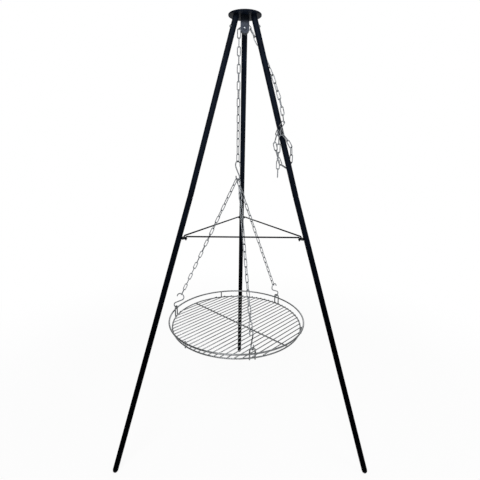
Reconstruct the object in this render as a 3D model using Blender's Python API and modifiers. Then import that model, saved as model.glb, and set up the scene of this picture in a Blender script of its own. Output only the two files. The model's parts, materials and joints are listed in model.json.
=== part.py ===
"""Campfire swing grill: a three-legged stand with a round grate hung on chains.

Metres, +Z up. The feet stand on z = 0 and the rear leg points to +Y. The stand's
axis lies behind the middle of its footprint, so everything is parented to an empty
on that axis.
"""

import math

import bmesh
import bpy
from mathutils import Matrix, Vector

# Small gaps
GAP = 0.0003              # between pieces that touch
LINK_BITE = 0.0004        # how far each link of a chain runs into its neighbour's wire

# Stand: three legs of two plugged tubes each
FOOT_RADIUS = 0.600       # stand axis to the middle of a foot
JOINT_RADIUS = 0.2335     # stand axis to the leg where its two tubes meet
JOINT_Z = 1.120
LEG_TOP_RADIUS = 0.0370   # stand axis to the leg's top end
LEG_TOP_Z = 1.765
LEG_TUBE_D = 0.022
LEG_WALL = 0.001
SPIGOT_LENGTH = 0.040     # swaged end of the lower tube inside the upper one
SPIGOT_WALL = 0.001
JOINT_SLIT = 0.0006       # between the ends of the two tubes
FOOT_STEM_LENGTH = 0.022  # plug inside the lower tube
FOOT_DOME_HEIGHT = 0.012
FOOT_FLAT = 0.0024        # how much the floor takes off the dome

# Head: plate, stubs, lock screws
PLATE_D = 0.123
PLATE_THICKNESS = 0.006
PLATE_EDGE_RADIUS = 0.0022
STUB_LENGTH = 0.060
STUB_WALL = 0.0015
STUB_PLAY = 0.0003
SCREW_DOWN_LEG = 0.042    # from the leg's top end to its lock screw
SCREW_SHANK_D = 0.005
SCREW_HEAD_D = 0.0095
SCREW_HEAD_HEIGHT = 0.0035
SCREW_SLOT_WIDTH = 0.0014
SCREW_SLOT_DEPTH = 0.0012

# Pulley, its bracket and axle
BRACKET_WIDTH = 0.032
BRACKET_INSIDE = 0.020
BRACKET_SHEET = 0.003
AXLE_DROP = 0.039         # leg's top end to the axle
AXLE_D = 0.008
AXLE_HEAD_D = 0.014
AXLE_HEAD_HEIGHT = 0.004
AXLE_THREAD_OUT = 0.010   # past the bracket's rear cheek
NUT_ACROSS_FLATS = 0.013
NUT_HEIGHT = 0.0065
SHEAVE_SIDE_PLAY = 0.0008
SHEAVE_BORE_PLAY = 0.0002
SHEAVE_FLANGE = 0.0012
SHEAVE_FLANGE_RISE = 0.0045

# Chain: long links of round wire
PITCH = 0.030             # inner length of a link
WIRE_D = 0.0035
LINK_SECTION = 0.0039     # across the corners of the four-sided wire that stands for it
LINK_WIDTH = 0.0145       # outside

# Hooks
HOOK_WIRE_D = 0.005
HOOK_TOP_R = 0.0165       # to the middle of the wire
HOOK_BOTTOM_R = 0.0125
HOOK_CENTRES = 0.048      # between the middles of its two bends
HOOK_TIP_ANGLE = 18.0     # how far each tip runs on past level
MAIN_HOOK_TOP_Z = 1.251
MAIN_HOOK_AZIMUTH = 124.0   # plane of the main hook
CHAIN_SPREAD_ANGLE = 40.0   # between neighbouring chains on the main hook's bend

# Grate
GRATE_AZIMUTH = 46.0      # direction of the bars, and of the first hanging loop
RIM_Z = 0.5530
RIM_R = 0.3010            # to the middle of the wire
RING_SIDES = 64
RIM_WIRE_D = 0.007
RING_BELOW_RIM = 0.0255
RING_WIRE_D = 0.006
LOOP_WIRE_D = 0.006
LOOP_WIDTH = 0.022        # between the middles of its legs
LOOP_ABOVE_RIM = 0.020    # middle of the rim wire to the middle of the loop's top
BAR_D = 0.004
BAR_SPACING = 0.0218
BAR_SINK = 0.0005         # welded into the ring and the brace
BAR_OVERHANG = 0.0015     # past the middle of the ring wire

# Spreader: three bent rods in lugs on the legs
SPREADER_Z = 0.967        # middle of the rods
ROD_D = 0.006
ROD_TIP_LENGTH = 0.014    # bent down through the lug
ROD_BEND_R = 0.005
LUG_THICKNESS = 0.003
LUG_REACH = 0.018         # past the leg's surface
LUG_WIDTH = 0.034
LUG_HOLE_PLAY = 0.0005
LUG_HOLE_PITCH = 0.017

# Peg for the free end of the chain, on the right leg
PEG_Z = 1.374
PEG_AZIMUTH = -100.0
PEG_LENGTH = 0.034
PEG_D = 0.005
PEG_HEAD_D = 0.012
PEG_HEAD_THICKNESS = 0.003
PEG_SLOTS = (0.0055, 0.0110, 0.0165, 0.0245)  # leg surface to each link hung on it
SPARE_END_LINKS = 6

LEGS = {"rear": 90.0, "left": 210.0, "right": 330.0}
HANGERS = {"right": 0.0, "left": 120.0, "front": 236.0}  # round from GRATE_AZIMUTH
BEND_PLACES = {"right": 0, "left": 1, "front": -1}       # on the main hook, in spread angles
HOOK_TWISTS = {"right": 0.0, "left": 0.0, "front": -33.0}  # of a grate hook about its chain

# Worked out from the sizes above
LEG_R = LEG_TUBE_D / 2
BORE_R = LEG_R - LEG_WALL
UPPER_LEAN = math.atan2(JOINT_RADIUS - LEG_TOP_RADIUS, LEG_TOP_Z - JOINT_Z)
LOWER_LEAN = math.atan2(FOOT_RADIUS - JOINT_RADIUS, JOINT_Z)
UPPER_LENGTH = (LEG_TOP_Z - JOINT_Z) / math.cos(UPPER_LEAN)
LOWER_LENGTH = JOINT_Z / math.cos(LOWER_LEAN)
PLATE_BOTTOM_Z = LEG_TOP_Z + LEG_R * math.sin(UPPER_LEAN) + GAP
AXLE_Z = LEG_TOP_Z - AXLE_DROP
SPIGOT_PLAY = SPIGOT_LENGTH * math.tan(abs(LOWER_LEAN - UPPER_LEAN)) + GAP  # the tubes meet at an angle
CHAIN_OFFSET = PITCH / math.sqrt(2)       # the chain goes round the sheave in quarter turns
RIM_FLAT_R = RIM_R * math.cos(math.pi / RING_SIDES)  # to the middle of a side of the rim
WELD_R = RIM_FLAT_R - RIM_WIRE_D / 2 - GAP - LOOP_WIRE_D / 2  # uprights between the two rings
LOOP_R = math.sqrt(WELD_R ** 2 - (LOOP_WIDTH / 2) ** 2)
RING_R = WELD_R - LOOP_WIRE_D / 2 - GAP - RING_WIRE_D / 2
RING_Z = RIM_Z - RING_BELOW_RIM
LOOP_TOP_Z = RIM_Z + LOOP_ABOVE_RIM
HOOK_SEAT = HOOK_WIRE_D / 2 + LINK_BITE + GAP  # middle of a hook's wire to a link's inner end


def turn(degrees):
    """Unit vector in the ground plane at this azimuth."""
    return Vector((math.cos(math.radians(degrees)), math.sin(math.radians(degrees)), 0.0))


def leg_point(azimuth, z):
    """Middle of a leg at a height."""
    if z < JOINT_Z:
        radius = JOINT_RADIUS + (JOINT_Z - z) * math.tan(LOWER_LEAN)
    else:
        radius = JOINT_RADIUS - (z - JOINT_Z) * math.tan(UPPER_LEAN)
    return turn(azimuth) * radius + Vector((0.0, 0.0, z))


# Scene, collections and materials

for old in list(bpy.data.objects):
    bpy.data.objects.remove(old, do_unlink=True)

grill = bpy.data.collections.new("campfire_grill")
cutters = bpy.data.collections.new("cutters")
bpy.context.scene.collection.children.link(grill)
bpy.context.scene.collection.children.link(cutters)


def finish(name, colour, metallic, roughness):
    """A Principled material."""
    made = bpy.data.materials.new(name)
    made.use_nodes = True
    shader = made.node_tree.nodes["Principled BSDF"]
    shader.inputs["Base Color"].default_value = (*colour, 1.0)
    shader.inputs["Metallic"].default_value = metallic
    shader.inputs["Roughness"].default_value = roughness
    return made


BLACK_COAT = finish("black_powder_coat", (0.010, 0.011, 0.016), 0.0, 0.45)
GREY_COAT = finish("grey_powder_coat", (0.055, 0.060, 0.080), 0.0, 0.40)
ZINC = finish("zinc_plated_steel", (0.62, 0.63, 0.64), 1.0, 0.30)
STAINLESS = finish("stainless_wire", (0.50, 0.50, 0.49), 1.0, 0.28)
BLACK_PLASTIC = finish("black_plastic", (0.012, 0.012, 0.013), 0.0, 0.55)


def empty(name, location, parent=None):
    """A parent at a joint's axis or at the stand's axis, placed in the parent's frame."""
    made = bpy.data.objects.new(name, None)
    made.empty_display_size = 0.03
    grill.objects.link(made)
    made.parent = parent
    made.location = location
    return made


# The rear foot is a whole radius behind the stand's axis, the front ones half a radius before it.
WIDEST_FOOT_R = FOOT_RADIUS - FOOT_DOME_HEIGHT * math.sin(LOWER_LEAN)
STAND_AXIS = empty("stand_axis", Vector((0.0, -WIDEST_FOOT_R / 4, 0.0)))

SWING_POINT = Vector((-CHAIN_OFFSET, 0.0, AXLE_Z))
SHEAVE_AXIS = empty("pulley_axis", Vector((0.0, 0.0, AXLE_Z)), STAND_AXIS)
SWING_AXES = empty("swing_axes", SWING_POINT, STAND_AXIS)
HANG_AXIS = empty("hang_axis", Vector((0.0, 0.0, 0.0)), SWING_AXES)


def offset_of(parent):
    """Where an empty stands in the stand's frame."""
    total = Vector((0.0, 0.0, 0.0))
    while parent is not None and parent is not STAND_AXIS:
        total += parent.location
        parent = parent.parent
    return total


def add(name, mesh, material, location=(0.0, 0.0, 0.0), rotation=(0.0, 0.0, 0.0), parent=None):
    """A named object in the grill's collection, placed in the stand's frame."""
    made = bpy.data.objects.new(name, mesh)
    grill.objects.link(made)
    made.parent = parent or STAND_AXIS
    made.location = Vector(location) - offset_of(made.parent)
    made.rotation_euler = rotation
    made.data.materials.clear()
    made.data.materials.append(material)
    return made


def hide_as_cutter(made):
    """Keep an object only as a tool for a Boolean."""
    grill.objects.unlink(made)
    cutters.objects.link(made)
    made.hide_render = True
    made.display_type = "WIRE"
    return made


def combine(target, tool, operation):
    """Boolean on target with the exact solver."""
    step = target.modifiers.new(operation.lower(), "BOOLEAN")
    step.operation = operation
    step.solver = "EXACT"
    step.object = hide_as_cutter(tool)


def turned_mesh(name, profile, closed):
    """Profile of (radius, height) pairs at +X, running down its outer side."""
    mesh = bpy.data.meshes.new(name)
    points = [(radius, 0.0, height) for radius, height in profile]
    edges = [(i, i + 1) for i in range(len(points) - 1)]
    if closed:
        edges.append((len(points) - 1, 0))
    mesh.from_pydata(points, edges, [])
    return mesh


def turned(name, profile, material, steps=20, closed=False, **place):
    """A turned piece: the profile goes once round Z."""
    made = add(name, turned_mesh(name, profile, closed), material, **place)
    screw = made.modifiers.new("turn", "SCREW")
    screw.steps = steps
    screw.render_steps = steps
    screw.use_merge_vertices = True
    screw.merge_threshold = 0.00001
    screw.use_smooth_shade = True
    return made


def cylinder(name, diameter, length, material, sides=20, **place):
    """A round bar about its own middle, along its own Z."""
    mesh = bpy.data.meshes.new(name)
    shape = bmesh.new()
    bmesh.ops.create_cone(shape, cap_ends=True, segments=sides, radius1=diameter / 2,
                          radius2=diameter / 2, depth=length)
    shape.to_mesh(mesh)
    shape.free()
    return add(name, mesh, material, **place)


def box(name, size, material, **place):
    """A block about its own middle."""
    mesh = bpy.data.meshes.new(name)
    shape = bmesh.new()
    bmesh.ops.create_cube(shape, size=1.0)
    bmesh.ops.scale(shape, vec=Vector(size), verts=shape.verts)
    shape.to_mesh(mesh)
    shape.free()
    return add(name, mesh, material, **place)


def wire_mesh(points, diameter, cyclic=False, resolution=2):
    """Round wire along points, as a closed mesh."""
    curve = bpy.data.curves.new("wire", "CURVE")
    curve.dimensions = "3D"
    curve.bevel_depth = diameter / 2
    curve.bevel_resolution = resolution
    curve.use_fill_caps = True
    spline = curve.splines.new("POLY")
    spline.points.add(len(points) - 1)
    for slot, point in zip(spline.points, points):
        slot.co = (*point, 1.0)
    spline.use_cyclic_u = cyclic
    guide = bpy.data.objects.new("wire", curve)
    bpy.context.scene.collection.objects.link(guide)
    drawn = guide.evaluated_get(bpy.context.evaluated_depsgraph_get())
    mesh = bpy.data.meshes.new_from_object(drawn)
    bpy.data.objects.remove(guide, do_unlink=True)
    shape = bmesh.new()
    shape.from_mesh(mesh)
    bmesh.ops.remove_doubles(shape, verts=shape.verts, dist=0.00001)
    bmesh.ops.recalc_face_normals(shape, faces=shape.faces)
    shape.to_mesh(mesh)
    shape.free()
    mesh.shade_smooth()
    return mesh


def wire(name, points, diameter, material, cyclic=False, resolution=2, **place):
    """Round wire as a named object."""
    return add(name, wire_mesh(points, diameter, cyclic, resolution), material, **place)


def arc(centre, radius, start, end, count):
    """Points on an arc in the XZ plane, angles in degrees from +X towards +Z."""
    points = []
    for i in range(count):
        angle = math.radians(start + (end - start) * i / (count - 1))
        points.append(centre + Vector((math.cos(angle), 0.0, math.sin(angle))) * radius)
    return points


def ring_points(radius, z, count):
    """Points round a level circle about the Z axis."""
    return [turn(360.0 * i / count) * radius + Vector((0.0, 0.0, z)) for i in range(count)]


# Legs

def leg_rotation(lean, azimuth):
    """Euler angles that lay a piece's Z along a leg, upwards."""
    return (0.0, -lean, math.radians(azimuth))


def upper_leg(name, azimuth):
    """Straight tube from the head down to the plug joint, with its lock screw's hole."""
    foot = leg_point(azimuth, JOINT_Z)
    profile = [(LEG_R, UPPER_LENGTH), (LEG_R, JOINT_SLIT), (BORE_R, JOINT_SLIT), (BORE_R, UPPER_LENGTH)]
    tube = turned("leg_upper_" + name, profile, BLACK_COAT, closed=True, location=foot,
                  rotation=leg_rotation(UPPER_LEAN, azimuth))
    drill = cylinder("screw_hole_" + name, SCREW_SHANK_D + 2 * GAP, 4 * LEG_WALL, BLACK_COAT, sides=12,
                     location=screw_seat(azimuth, -LEG_WALL / 2), rotation=screw_rotation(azimuth))
    combine(tube, drill, "DIFFERENCE")


def lower_leg(name, azimuth):
    """Tube with a swaged spigot that plugs into the upper one."""
    spigot_r = BORE_R - SPIGOT_PLAY
    spigot_bore = spigot_r - SPIGOT_WALL
    shoulder = LOWER_LENGTH - JOINT_SLIT
    top = shoulder + SPIGOT_LENGTH
    bottom = FOOT_DOME_HEIGHT
    profile = [(spigot_r, top), (spigot_r, shoulder), (LEG_R, shoulder), (LEG_R, bottom), (BORE_R, bottom),
               (BORE_R, shoulder - LEG_WALL), (spigot_bore, shoulder - LEG_WALL), (spigot_bore, top)]
    turned("leg_lower_" + name, profile, BLACK_COAT, closed=True,
           location=leg_point(azimuth, 0.0), rotation=leg_rotation(LOWER_LEAN, azimuth))


def foot_plug(name, azimuth):
    """Domed plug in the tube's end, flat where it stands on the floor."""
    stem_r = BORE_R - GAP
    top = FOOT_DOME_HEIGHT + FOOT_STEM_LENGTH
    collar = FOOT_DOME_HEIGHT - GAP
    tip = -FOOT_FLAT
    drop = collar - tip
    dome = [(LEG_R * math.cos(step * math.pi / 12), collar - drop * math.sin(step * math.pi / 12))
            for step in range(6)]
    profile = [(0.0, top), (stem_r, top), (stem_r, collar)] + dome + [(0.0, tip)]
    plug = turned("foot_plug_" + name, profile, BLACK_PLASTIC, location=leg_point(azimuth, 0.0),
                  rotation=leg_rotation(LOWER_LEAN, azimuth))
    floor = box("floor_cut_" + name, (4 * LEG_TUBE_D, 4 * LEG_TUBE_D, LEG_TUBE_D), BLACK_PLASTIC,
                location=leg_point(azimuth, 0.0) - Vector((0.0, 0.0, LEG_TUBE_D / 2)))
    combine(plug, floor, "DIFFERENCE")


def leg_notch(name, azimuth, z, lean, made):
    """Cut a welded piece to the round of the leg that it stands on."""
    cutter = cylinder("notch_" + name, LEG_TUBE_D + 2 * GAP, 4 * LEG_TUBE_D, BLACK_COAT, sides=40,
                      location=leg_point(azimuth, z), rotation=leg_rotation(lean, azimuth))
    combine(made, cutter, "DIFFERENCE")


# Head

def screw_seat(azimuth, outwards):
    """Point on a lock screw's axis, measured outwards from the leg's surface."""
    middle = leg_point(azimuth, LEG_TOP_Z - SCREW_DOWN_LEG * math.cos(UPPER_LEAN))
    across = turn(azimuth) * math.cos(UPPER_LEAN) + Vector((0.0, 0.0, math.sin(UPPER_LEAN)))
    return middle + across * (LEG_R + outwards)


def screw_rotation(azimuth):
    """Euler angles that point a piece's Z out of the leg, square to it."""
    return (0.0, math.pi / 2 - UPPER_LEAN, math.radians(azimuth))


def lock_screw(name, azimuth):
    """Slotted pan-head screw that clamps the leg on its stub."""
    inner = -(LEG_R - (BORE_R - STUB_PLAY)) + GAP
    shank = SCREW_SHANK_D / 2
    head = SCREW_HEAD_D / 2
    seat = GAP
    top = seat + SCREW_HEAD_HEIGHT
    profile = [(0.0, top), (head * 0.62, top), (head * 0.9, top - SCREW_HEAD_HEIGHT * 0.3),
               (head, top - SCREW_HEAD_HEIGHT * 0.65), (head, seat), (shank, seat), (shank, inner), (0.0, inner)]
    screw = turned("lock_screw_" + name, profile, ZINC, steps=12, location=screw_seat(azimuth, 0.0),
                   rotation=screw_rotation(azimuth))
    slot = box("screw_slot_" + name, (SCREW_SLOT_WIDTH, SCREW_HEAD_D * 1.2, 2 * SCREW_SLOT_DEPTH), ZINC,
               location=screw_seat(azimuth, top), rotation=screw_rotation(azimuth))
    combine(screw, slot, "DIFFERENCE")


def head_stub(name, azimuth):
    """Short tube welded under the plate; the leg slides over it."""
    outer = BORE_R - STUB_PLAY
    inner = outer - STUB_WALL
    upper = (PLATE_BOTTOM_Z - LEG_TOP_Z) / math.cos(UPPER_LEAN) + LEG_R * math.tan(UPPER_LEAN)
    profile = [(outer, upper), (outer, -STUB_LENGTH), (inner, -STUB_LENGTH), (inner, upper)]
    stub = turned("head_stub_" + name, profile, BLACK_COAT, closed=True,
                  location=leg_point(azimuth, LEG_TOP_Z), rotation=leg_rotation(UPPER_LEAN, azimuth))
    mitre = box("stub_mitre_" + name, (4 * LEG_TUBE_D, 4 * LEG_TUBE_D, LEG_TUBE_D), BLACK_COAT,
                location=leg_point(azimuth, PLATE_BOTTOM_Z - GAP) + Vector((0.0, 0.0, LEG_TUBE_D / 2)))
    combine(stub, mitre, "DIFFERENCE")


def top_plate():
    """Round flat plate with rounded edges that carries the stubs and the bracket."""
    outer = PLATE_D / 2
    low = PLATE_BOTTOM_Z
    high = low + PLATE_THICKNESS
    edge = PLATE_EDGE_RADIUS
    corners = []
    for middle_z, start in ((high - edge, 90.0), (low + edge, 0.0)):
        for step in range(4):
            angle = math.radians(start - 30.0 * step)
            corners.append((outer - edge + edge * math.cos(angle), middle_z + edge * math.sin(angle)))
    turned("top_plate", [(0.0, high)] + corners + [(0.0, low)], BLACK_COAT, steps=32)


# Pulley

def pulley_bracket():
    """Bent strap: two round-ended cheeks under a web, drilled for the axle."""
    top = PLATE_BOTTOM_Z - GAP
    half = BRACKET_WIDTH / 2
    depth = BRACKET_INSIDE + 2 * BRACKET_SHEET
    outline = bpy.data.curves.new("bracket_outline", "CURVE")
    outline.dimensions = "2D"
    outline.fill_mode = "BOTH"
    outline.extrude = depth / 2
    round_end = arc(Vector((0.0, 0.0, 0.0)), half, 180.0, 360.0, 13)
    points = [(-half, top - AXLE_Z)] + [(point.x, point.z) for point in round_end] + [(half, top - AXLE_Z)]
    spline = outline.splines.new("POLY")
    spline.points.add(len(points) - 1)
    for slot, (x, y) in zip(spline.points, points):
        slot.co = (x, y, 0.0, 1.0)
    spline.use_cyclic_u = True
    guide = bpy.data.objects.new("bracket_outline", outline)
    bpy.context.scene.collection.objects.link(guide)
    drawn = guide.evaluated_get(bpy.context.evaluated_depsgraph_get())
    mesh = bpy.data.meshes.new_from_object(drawn)
    bpy.data.objects.remove(guide, do_unlink=True)
    shape = bmesh.new()
    shape.from_mesh(mesh)
    bmesh.ops.remove_doubles(shape, verts=shape.verts, dist=0.00001)
    bmesh.ops.recalc_face_normals(shape, faces=shape.faces)
    shape.to_mesh(mesh)
    shape.free()
    upright = (math.pi / 2, 0.0, 0.0)
    bracket = add("pulley_bracket", mesh, GREY_COAT, location=(0.0, 0.0, AXLE_Z), rotation=upright)
    inside_top = top - BRACKET_SHEET
    inside_low = AXLE_Z - BRACKET_WIDTH
    slot = box("bracket_inside", (2 * BRACKET_WIDTH, BRACKET_INSIDE, inside_top - inside_low), GREY_COAT,
               location=(0.0, 0.0, (inside_top + inside_low) / 2))
    combine(bracket, slot, "DIFFERENCE")
    drill = cylinder("axle_hole", AXLE_D + 2 * GAP, 2 * depth, GREY_COAT, location=(0.0, 0.0, AXLE_Z),
                     rotation=upright)
    combine(bracket, drill, "DIFFERENCE")


def pulley_axle():
    """Round-headed bolt through both cheeks, and its nut."""
    cheek = BRACKET_INSIDE / 2 + BRACKET_SHEET
    backwards = (-math.pi / 2, 0.0, 0.0)
    seat = -cheek - GAP
    front = seat - AXLE_HEAD_HEIGHT
    shank = AXLE_D / 2
    head = AXLE_HEAD_D / 2
    rear = cheek + AXLE_THREAD_OUT
    chamfer = shank * 0.2
    profile = [(0.0, rear), (shank - chamfer, rear), (shank, rear - chamfer), (shank, seat), (head, seat),
               (head, seat - AXLE_HEAD_HEIGHT * 0.4), (head * 0.75, front + AXLE_HEAD_HEIGHT * 0.12),
               (head * 0.4, front), (0.0, front)]
    turned("pulley_axle", profile, ZINC, location=(0.0, 0.0, AXLE_Z), rotation=backwards)
    nut = cylinder("axle_nut", NUT_ACROSS_FLATS / math.cos(math.pi / 6), NUT_HEIGHT, ZINC, sides=6,
                   location=(0.0, cheek + GAP + NUT_HEIGHT / 2, AXLE_Z), rotation=backwards)
    thread = cylinder("nut_bore", AXLE_D + 2 * GAP, 2 * NUT_HEIGHT, ZINC, location=nut.location,
                      rotation=backwards)
    combine(nut, thread, "DIFFERENCE")


def pulley_wheel():
    """Sheave with a slot for the upright links and shoulders for the flat ones."""
    half = BRACKET_INSIDE / 2 - SHEAVE_SIDE_PLAY
    chord = CHAIN_OFFSET * math.cos(math.pi / 4)
    play = WIRE_D / 4
    shoulder = chord - WIRE_D / 2 - play
    flange = shoulder + SHEAVE_FLANGE_RISE
    slot_r = chord - LINK_WIDTH / 2 - play
    slot_half = WIRE_D / 2 + play
    bore = AXLE_D / 2 + SHEAVE_BORE_PLAY
    inner_flange = half - SHEAVE_FLANGE
    profile = [(flange, half), (flange, inner_flange), (shoulder, inner_flange), (shoulder, slot_half),
               (slot_r, slot_half), (slot_r, -slot_half), (shoulder, -slot_half), (shoulder, -inner_flange),
               (flange, -inner_flange), (flange, -half), (bore, -half), (bore, half)]
    turned("pulley_wheel", profile, ZINC, steps=24, closed=True, location=(0.0, 0.0, AXLE_Z),
           rotation=(-math.pi / 2, 0.0, 0.0), parent=SHEAVE_AXIS)


# Chain

def link_outline(inner_length):
    """Eight points round a link in its XZ plane, long way along Z."""
    bend = (LINK_WIDTH - LINK_SECTION) / 2
    end = (inner_length + LINK_SECTION) / 2
    shoulder = end - bend * 0.75
    corners = []
    for side, tip in ((1, 1), (-1, 1), (-1, -1), (1, -1)):
        straight = Vector((side * bend, 0.0, tip * shoulder))
        rounded = Vector((side * bend * 0.45, 0.0, tip * end))
        corners += [straight, rounded] if side == tip else [rounded, straight]
    return corners


def link_matrix(start, end, width_towards):
    """Frame of a link: X across it, Z along it, at the middle of its span."""
    along = (end - start).normalized()
    across = (width_towards - along * width_towards.dot(along)).normalized()
    through = along.cross(across)
    frame = Matrix((across, through, along)).transposed().to_4x4()
    frame.translation = (start + end) / 2
    return frame


def links_mesh(name, spans):
    """One mesh of separate links; a span is (start, end, direction of its width)."""
    mesh = bpy.data.meshes.new(name)
    shape = bmesh.new()
    for start, end, width_towards in spans:
        link = wire_mesh(link_outline((end - start).length), LINK_SECTION, cyclic=True, resolution=0)
        link.transform(link_matrix(start, end, width_towards))
        shape.from_mesh(link)
        bpy.data.meshes.remove(link)
    shape.to_mesh(mesh)
    shape.free()
    return mesh


def chain(name, joints, first_width, last_width=None, parent=None):
    """Links from joint to joint, each turned square to the last, joined into one body.

    The run twists evenly from the direction of its first link's width to that of its last.
    """
    count = len(joints) - 1
    twist_end = first_width
    if last_width is not None:
        last_along = (joints[-1] - joints[-2]).normalized()
        twist_end = last_width if count % 2 == 1 else last_width.cross(last_along)
        if twist_end.dot(first_width) < 0.0:
            twist_end = -twist_end
    groups = ([], [])
    for i, (start, end) in enumerate(zip(joints, joints[1:])):
        along = (end - start).normalized()
        width = first_width.slerp(twist_end, i / (count - 1))
        facing = width if i % 2 == 0 else along.cross(width)
        groups[i % 2].append((start + along * LINK_BITE, end - along * LINK_BITE, facing))
    made = add(name, links_mesh(name, groups[0]), ZINC, parent=parent)
    made.matrix_local = Matrix.Translation(-offset_of(made.parent))
    others = add(name + "_other_links", links_mesh(name + "_other_links", groups[1]), ZINC, parent=parent)
    others.matrix_local = Matrix.Translation(-offset_of(others.parent))
    combine(made, others, "UNION")
    return made


def single_link(name, start, end, width_towards, parent):
    """One free link on its own."""
    made = add(name, links_mesh(name, [(start, end, width_towards)]), ZINC, parent=parent)
    made.matrix_local = Matrix.Translation(-offset_of(made.parent))
    return made


def smooth_route(points, per_span=24):
    """Close points on a Catmull-Rom curve through the route's own points."""
    padded = [points[0] * 2 - points[1]] + list(points) + [points[-1] * 2 - points[-2]]
    route = []
    for a, b, c, d in zip(padded, padded[1:], padded[2:], padded[3:]):
        for step in range(per_span):
            t = step / per_span
            route.append(0.5 * ((2 * b) + (c - a) * t + (2 * a - 5 * b + 4 * c - d) * t * t
                                + (3 * b - a - 3 * c + d) * t ** 3))
    route.append(points[-1].copy())
    return route


def joints_along(points):
    """Joints of a chain on a route, a whole number of links that are nearest to the pitch."""
    route = smooth_route(points)
    lengths = [0.0]
    for a, b in zip(route, route[1:]):
        lengths.append(lengths[-1] + (b - a).length)
    count = max(2, round(lengths[-1] / PITCH))
    joints = []
    spot = 0
    for i in range(count + 1):
        wanted = lengths[-1] * i / count
        while spot < len(route) - 2 and lengths[spot + 1] < wanted:
            spot += 1
        share = (wanted - lengths[spot]) / (lengths[spot + 1] - lengths[spot])
        joints.append(route[spot].lerp(route[spot + 1], min(1.0, share)))
    return joints


def straight_joints(start, end):
    """Joints of a taut chain between two points."""
    count = max(2, round((end - start).length / PITCH))
    return [start.lerp(end, i / count) for i in range(count + 1)]


# Hooks

def hook_points():
    """Middle line of an S-hook in its XZ plane, about the middle of its shank."""
    top = Vector((0.0, 0.0, HOOK_CENTRES / 2))
    bottom = -top
    reach = math.degrees(math.acos((HOOK_TOP_R + HOOK_BOTTOM_R) / HOOK_CENTRES))
    over = arc(top, HOOK_TOP_R, 180.0 + HOOK_TIP_ANGLE, -90.0 + reach, 10)
    under = arc(bottom, HOOK_BOTTOM_R, 90.0 + reach, 360.0 + HOOK_TIP_ANGLE, 10)
    return over + under


def hanging_frame(origin, up, towards):
    """Frame of a hook: Z along its load, X in its plane."""
    up = up.normalized()
    across = (towards - up * towards.dot(up)).normalized()
    frame = Matrix((across, up.cross(across), up)).transposed().to_4x4()
    frame.translation = origin
    return frame


def s_hook(name, frame):
    """One S-hook placed by its frame."""
    mesh = wire_mesh(hook_points(), HOOK_WIRE_D, resolution=1)
    made = add(name, mesh, ZINC, parent=HANG_AXIS)
    made.matrix_local = Matrix.Translation(-offset_of(HANG_AXIS)) @ frame
    return made


# Peg on the right leg

def peg_point(outwards, sideways=0.0, up=0.0):
    """Point by the peg: out from the leg's surface, to the right of the peg's axis, and up."""
    middle = leg_point(LEGS["right"], PEG_Z)
    across = turn(PEG_AZIMUTH) * (LEG_R / math.cos(UPPER_LEAN) + outwards)
    return middle + across + turn(PEG_AZIMUTH + 90.0) * sideways + Vector((0.0, 0.0, up))


def on_peg(outwards, sideways, up):
    """Where a link ends that holds the peg and leads off sideways and up."""
    seat = (PEG_D / 2 + LINK_BITE + GAP) / math.hypot(sideways, up)
    return peg_point(outwards, -sideways * seat, -up * seat)


def chain_peg():
    """Welded peg with a head that keeps the chain's spare links on the leg."""
    length = PEG_LENGTH
    shank = PEG_D / 2
    head = PEG_HEAD_D / 2
    start = -LEG_R * 0.5
    profile = [(0.0, length), (head * 0.8, length), (head, length - PEG_HEAD_THICKNESS * 0.5),
               (head, length - PEG_HEAD_THICKNESS), (shank, length - PEG_HEAD_THICKNESS), (shank, start), (0.0, start)]
    peg = turned("chain_peg", profile, BLACK_COAT, steps=16, location=peg_point(0.0),
                 rotation=(0.0, math.pi / 2, math.radians(PEG_AZIMUTH)))
    leg_notch("peg", LEGS["right"], PEG_Z, UPPER_LEAN, peg)


# Grate

def grate_centre():
    """Axis of everything that hangs on the chain."""
    return Vector((-CHAIN_OFFSET, 0.0, 0.0))


def grate_rim():
    """Upper ring, which keeps the food on the grate."""
    wire("grate_rim", ring_points(RIM_R, RIM_Z, RING_SIDES), RIM_WIRE_D, STAINLESS, cyclic=True,
         resolution=1, parent=HANG_AXIS, location=grate_centre())


def grate_grid():
    """Lower ring, brace and parallel bars, welded into one piece."""
    turned_by = (0.0, 0.0, math.radians(GRATE_AZIMUTH))
    grid = wire("grate_grid", ring_points(RING_R, RING_Z, RING_SIDES), RING_WIRE_D, STAINLESS, cyclic=True,
                resolution=1, parent=HANG_AXIS, location=grate_centre(), rotation=turned_by)
    lying = Matrix.Rotation(math.pi / 2, 4, "Y")
    brace = cylinder("grate_brace", RING_WIRE_D, 2 * RING_R, STAINLESS, sides=8, parent=HANG_AXIS,
                     location=grate_centre() + Vector((0.0, 0.0, RING_Z)),
                     rotation=(math.pi / 2, 0.0, math.radians(GRATE_AZIMUTH)))
    combine(grid, brace, "UNION")
    bar_z = RING_Z + RING_WIRE_D / 2 + BAR_D / 2 - BAR_SINK
    per_side = int((RING_R - 2 * BAR_D) / BAR_SPACING)
    mesh = bpy.data.meshes.new("grate_bars")
    shape = bmesh.new()
    for i in range(-per_side, per_side + 1):
        y = i * BAR_SPACING
        length = 2 * (math.sqrt(RING_R ** 2 - y ** 2) + BAR_OVERHANG)
        bmesh.ops.create_cone(shape, cap_ends=True, segments=6, radius1=BAR_D / 2, radius2=BAR_D / 2,
                              depth=length, matrix=Matrix.Translation((0.0, y, bar_z)) @ lying)
    shape.to_mesh(mesh)
    shape.free()
    bars = add("grate_bars", mesh, STAINLESS, parent=HANG_AXIS, location=grate_centre(), rotation=turned_by)
    combine(grid, bars, "UNION")


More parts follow.
